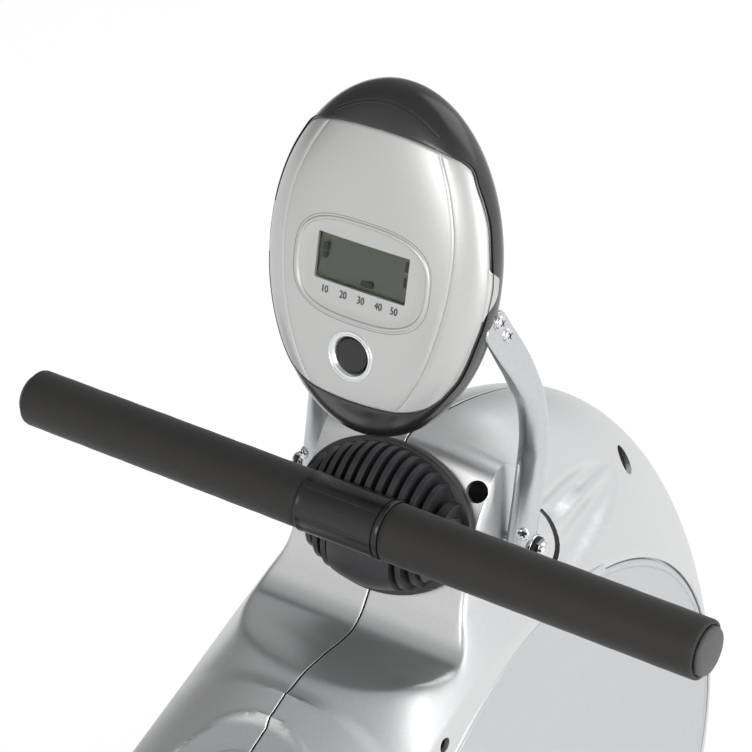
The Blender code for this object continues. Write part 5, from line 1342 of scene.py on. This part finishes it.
def make_knob():
    """A pale skirt with ticks and a small fluted grip."""
    place = Matrix.Translation(KNOB_SEAT) @ Matrix.Rotation(KNOB_SLOPE, 4, "X")
    skirt = turned(softened([(0.0, -0.0012), (0.0195, -0.0012), (0.0205, 0.0002), (0.02, 0.0016),
                             (0.0125, 0.003), (0.0, 0.003)], 0.0005), 72, "Z")
    shaft = turned([(0.0, -0.024), (0.004, -0.024), (0.004, 0.0), (0.0, 0.0)], 20, "Z")
    new_piece("knob_skirt", placed(joined(skirt, shaft), place), "housing", body="tension_knob", sharp=50)
    rings = []
    for shrink, height in ((0.0, 0.0028), (0.0, 0.01), (0.0004, 0.0112), (0.0014, 0.012), (0.004, 0.0122)):
        ring = []
        for angle in angles(112):
            radius = 0.0113 - shrink - 0.0014 * (0.5 - 0.5 * math.cos(7 * angle)) ** 2
            ring.append(Vector((radius * math.cos(angle), radius * math.sin(angle), height)))
        rings.append(ring)
    new_piece("knob_grip", placed(solid(rings), place), "black", ["tension_knob"], "tension_knob", sharp=45)
    tick = slab(rounded_outline(0.0016, 0.0004, 0.0002, 1), 0.0, 0.0002)
    lean = Matrix.Translation((0.0158, 0, 0.0024)) @ Matrix.Rotation(math.radians(-80), 4, "Y")
    ticks = [placed(tick, Matrix.Rotation(math.radians(90 + 43 * i), 4, "Z") @ lean) for i in range(8)]
    new_piece("knob_ticks", placed(joined(*ticks), place), "ink", body="tension_knob")


# Seat

SEAT_Y = -0.45
SEAT_BOTTOM = 0.3496
SEAT_HEIGHT = 0.055
SEAT_HALF_X, SEAT_HALF_Y = 0.15, 0.13
SEAT_CORNER = 0.62
SEAM_LEVEL = 0.42
SEAT_SCALE = reader([
    (0.0, 0.8), (0.02, 0.9), (0.1, 0.952), (0.2, 0.985), (0.3, 0.996), (0.42, 1.0), (0.52, 0.996),
    (0.62, 0.985), (0.7, 0.966), (0.8, 0.93), (0.87, 0.875), (0.92, 0.8), (0.955, 0.69), (0.985, 0.55),
    (0.995, 0.4), (1.0, 0.25)], 0.01)
PAD_LEVELS = [
    0.0, 0.01, 0.03, 0.07, 0.13, 0.2, 0.27, 0.33, 0.38, 0.405, 0.415, 0.425, 0.435, 0.46, 0.52, 0.58, 0.64,
    0.7, 0.75, 0.8, 0.84, 0.875, 0.905, 0.93, 0.95, 0.965, 0.98, 0.99, 0.996, 1.0,
]


def seat_ring(scale, level):
    """One ring of the seat, with a dip along the middle, a raised back edge and fine puckers at the seam."""
    ring = []
    for angle in angles(144):
        x = SEAT_HALF_X * scale * signed_power(math.cos(angle), SEAT_CORNER)
        y = SEAT_HALF_Y * scale * signed_power(math.sin(angle), SEAT_CORNER)
        if y > 0:
            x *= 1 - 0.22 * (y / SEAT_HALF_Y) ** 2
        dip = 0.008 * ease(0.3, 1.0, level) * math.exp(-(x / 0.05) ** 2)
        lift = 0.008 * ease(0.5, 1.0, level) * ease(0.02, 0.12, -y)
        pucker = 0.0006 * math.sin(46 * angle) * math.exp(-((level - SEAM_LEVEL) / 0.1) ** 2)
        ring.append(Vector((x * (1 - pucker / SEAT_HALF_X), SEAT_Y + y * (1 - pucker / SEAT_HALF_Y),
                            SEAT_BOTTOM + SEAT_HEIGHT * level - dip + lift)))
    return ring


def make_seat_pad():
    """The padded seat: a crowned top, a piped seam round the middle and sides that draw in."""
    rings = []
    for level in PAD_LEVELS:
        groove = 0.012 * math.exp(-((level - SEAM_LEVEL) / 0.012) ** 2)
        rings.append(seat_ring(SEAT_SCALE(level) - groove, level))
    rings += [seat_ring(scale, 1.0) for scale in (0.18, 0.1, 0.03)]
    pad = new_piece("padded_seat", solid(rings), "vinyl", ["seat_pad"], "seat", sharp=70)
    piping = sweep(circle(0.0019, 10), seat_ring(0.99, SEAM_LEVEL), UP, closed=True)
    new_piece("seat_piping", piping, "vinyl", body="seat", sharp=70)


# Foot straps

def make_feet():
    rise = [(-0.057, 0.014), (-0.057, 0.026), (-0.0565, 0.04), (-0.049, 0.066), (-0.0319, 0.088),
            (-0.0114, 0.101)]
    line = smooth_line(rise + [(-a, b) for a, b in reversed(rise)], 0.005)
    strap_middle = 0.045
    path = [Vector((a, strap_middle, b)) for a, b in line]
    band = sweep([(a * 2.0, b * 1.25) for a, b in STRAP_OUTLINE], path, Vector((0, 1, 0)))
    path = [Vector((a, strap_middle + b, 0.0)) for a, b in rounded_outline(0.011, 0.0235, 0.003, 4)]
    buckle = sweep(rectangle(-0.0012, 0.0012, 0.0016), path, UP, closed=True)
    lean = Matrix.Translation((0.041, 0, 0.0795)) @ Matrix.Rotation(math.radians(52), 4, "Y")
    for word, side in SIDES:
        body = "footplate_" + word
        place = Matrix.Translation((side * 0.155, 0.33, 0.262)) @ Matrix.Rotation(math.radians(45), 4, "X")
        new_piece("foot_band_" + word, placed(band, place), "webbing", ["foot_strap_" + word], body, sharp=60)
        new_piece("foot_buckle_" + word, placed(buckle, place @ lean), "black", body=body, sharp=40)


# Stage

def add_aimed(name, data, place, way):
    """A camera or a lamp at a place, looking along a way."""
    holder = add_object(name, data)
    holder.location = place
    holder.rotation_euler = way.to_track_quat("-Z", "Y").to_euler()
    return holder


def make_camera():
    """The photograph's view: above and to the right of the rower's hands."""
    azimuth = math.radians(34.195)
    elevation = math.radians(31.17)
    level = math.cos(elevation)
    way = Vector((-math.sin(azimuth) * level, math.cos(azimuth) * level, -math.sin(elevation)))
    camera = bpy.data.cameras.new("camera")
    camera.sensor_width = 36.0
    camera.lens = 152.52
    camera.clip_end = 30.0
    bpy.context.scene.camera = add_aimed("camera", camera, (0.85976, -0.6705, 1.5261), way)


def seen_or_mirrored(tree):
    """1 for what the camera sees directly, in a gloss or through glass."""
    rays = add_node(tree, "ShaderNodeLightPath").outputs
    shown = math_node(tree, "MAXIMUM", rays["Is Camera Ray"], rays["Is Glossy Ray"])
    return math_node(tree, "MAXIMUM", shown, rays["Is Transmission Ray"])


def make_world():
    """White to the camera, soft light elsewhere, and a studio with a darker left side in the glosses."""
    world = bpy.data.worlds.new("studio")
    bpy.context.scene.world = world
    world.use_nodes = True
    tree = world.node_tree
    light = tree.nodes["Background"]
    light.inputs["Color"].default_value = (0.93, 0.96, 1.0, 1.0)
    light.inputs["Strength"].default_value = 0.34
    way = add_node(tree, "ShaderNodeTexCoord").outputs["Generated"]
    x, y, z = add_node(tree, "ShaderNodeSeparateXYZ", {0: way}).outputs
    tone = mix_colour(tree, map_range(tree, x, -0.65, 0.25), (0.24, 0.245, 0.235, 1), (1.0, 1.0, 1.02, 1))
    tone = mix_colour(tree, map_range(tree, y, -0.2, -0.7), tone, (0.92, 0.92, 0.91, 1))
    tone = mix_colour(tree, map_range(tree, z, 0.28, 0.9), tone, (0.4, 0.41, 0.42, 1))
    mirrored = add_node(tree, "ShaderNodeBackground", {"Color": tone, "Strength": 0.95})
    white = add_node(tree, "ShaderNodeBackground", {"Color": (1.0, 1.0, 1.0, 1.0), "Strength": 1.08})
    rays = add_node(tree, "ShaderNodeLightPath").outputs
    gloss = mix_shaders(tree, rays["Is Glossy Ray"], light, mirrored)
    clear = math_node(tree, "MAXIMUM", rays["Is Camera Ray"], rays["Is Transmission Ray"])
    seen = mix_shaders(tree, clear, gloss, white)
    tree.links.new(seen.outputs[0], tree.nodes["World Output"].inputs[0])


def make_floor():
    """A pale floor, which shows almost white to the camera and in glosses."""
    half = 14.0
    mesh = bpy.data.meshes.new("floor")
    mesh.from_pydata([(-half, -half, 0), (half, -half, 0), (half, half, 0), (-half, half, 0)], [],
                     [(0, 1, 2, 3)])
    material = bpy.data.materials.new("pale_floor")
    material.use_nodes = True
    tree = material.node_tree
    shader = tree.nodes["Principled BSDF"]
    shader.inputs["Roughness"].default_value = 0.9
    tone = noise(tree, object_place(tree), 3.0)
    colour = mix_colour(tree, tone, (0.9, 0.9, 0.9, 1), (0.94, 0.94, 0.94, 1))
    tree.links.new(colour, shader.inputs["Base Color"])
    white = add_node(tree, "ShaderNodeEmission", {"Color": (1.0, 1.0, 1.0, 1.0), "Strength": 1.13})
    share = math_node(tree, "MULTIPLY", seen_or_mirrored(tree), 0.8)
    mix = mix_shaders(tree, share, shader, white)
    tree.links.new(mix.outputs[0], tree.nodes["Material Output"].inputs[0])
    mesh.materials.append(material)
    add_object("floor", mesh)


def make_lamp(name, place, size, power):
    """A soft rectangular lamp that looks at the head of the machine."""
    target = Vector((0.0, 0.6, 0.45))
    lamp = bpy.data.lights.new(name, "AREA")
    lamp.shape = "RECTANGLE"
    lamp.size, lamp.size_y = size
    lamp.energy = power
    add_aimed(name, lamp, place, target - Vector(place))


def make_stage():
    make_world()
    make_floor()
    make_lamp("top_light", (0.9, 2.0, 2.6), (2.2, 2.2), 18)
    make_lamp("right_light", (2.6, 0.2, 1.3), (1.4, 1.8), 34)
    make_lamp("front_light", (0.5, -2.4, 1.9), (1.4, 1.2), 24)
    bpy.context.scene.view_settings.view_transform = "Standard"


# Finishes of the model's own pieces that stay in sight

KEPT_NODES = {
    "steel": ["flywheel_axle", "drive_axle", "recoil_spring", "hinge_pin", "pedal_axle",
              "strap_guide_roller"],
    "iron": ["flywheel", "magnet_yoke"],
    "frame": ["main_frame", "left_side_plate", "right_side_plate", "front_stabilizer", "rear_leg",
              "seat_carriage"],
    "black": ["drive_pulley", "strap_drum", "rail_lock_knob", "footplate_left", "footplate_right"],
    "rubber": ["drive_belt", "front_end_cap_left", "front_end_cap_right", "rear_end_cap_left",
               "rear_end_cap_right", "front_seat_roller", "rear_seat_roller", "lower_seat_roller",
               "transport_wheel_left", "transport_wheel_right"],
    "rail": ["rail"],
    "board": ["console_board"],
}


def finish_kept_nodes():
    for finish, names in KEPT_NODES.items():
        for name in names:
            mesh = NODES[name].data
            mesh.materials.clear()
            mesh.materials.append(FINISH[finish])
            for face in mesh.polygons:
                face.material_index = 0


# The whole machine, in order

make_camera()
make_cords()
make_housing()
make_seam_strip()
make_covers()
make_handle()
make_console_front()
make_console_back()
make_console_back_details()
make_console_details()
make_arms()
make_rest()
make_pull_straps()
make_knob()
make_seat_pad()
make_feet()
finish_kept_nodes()
make_stage()
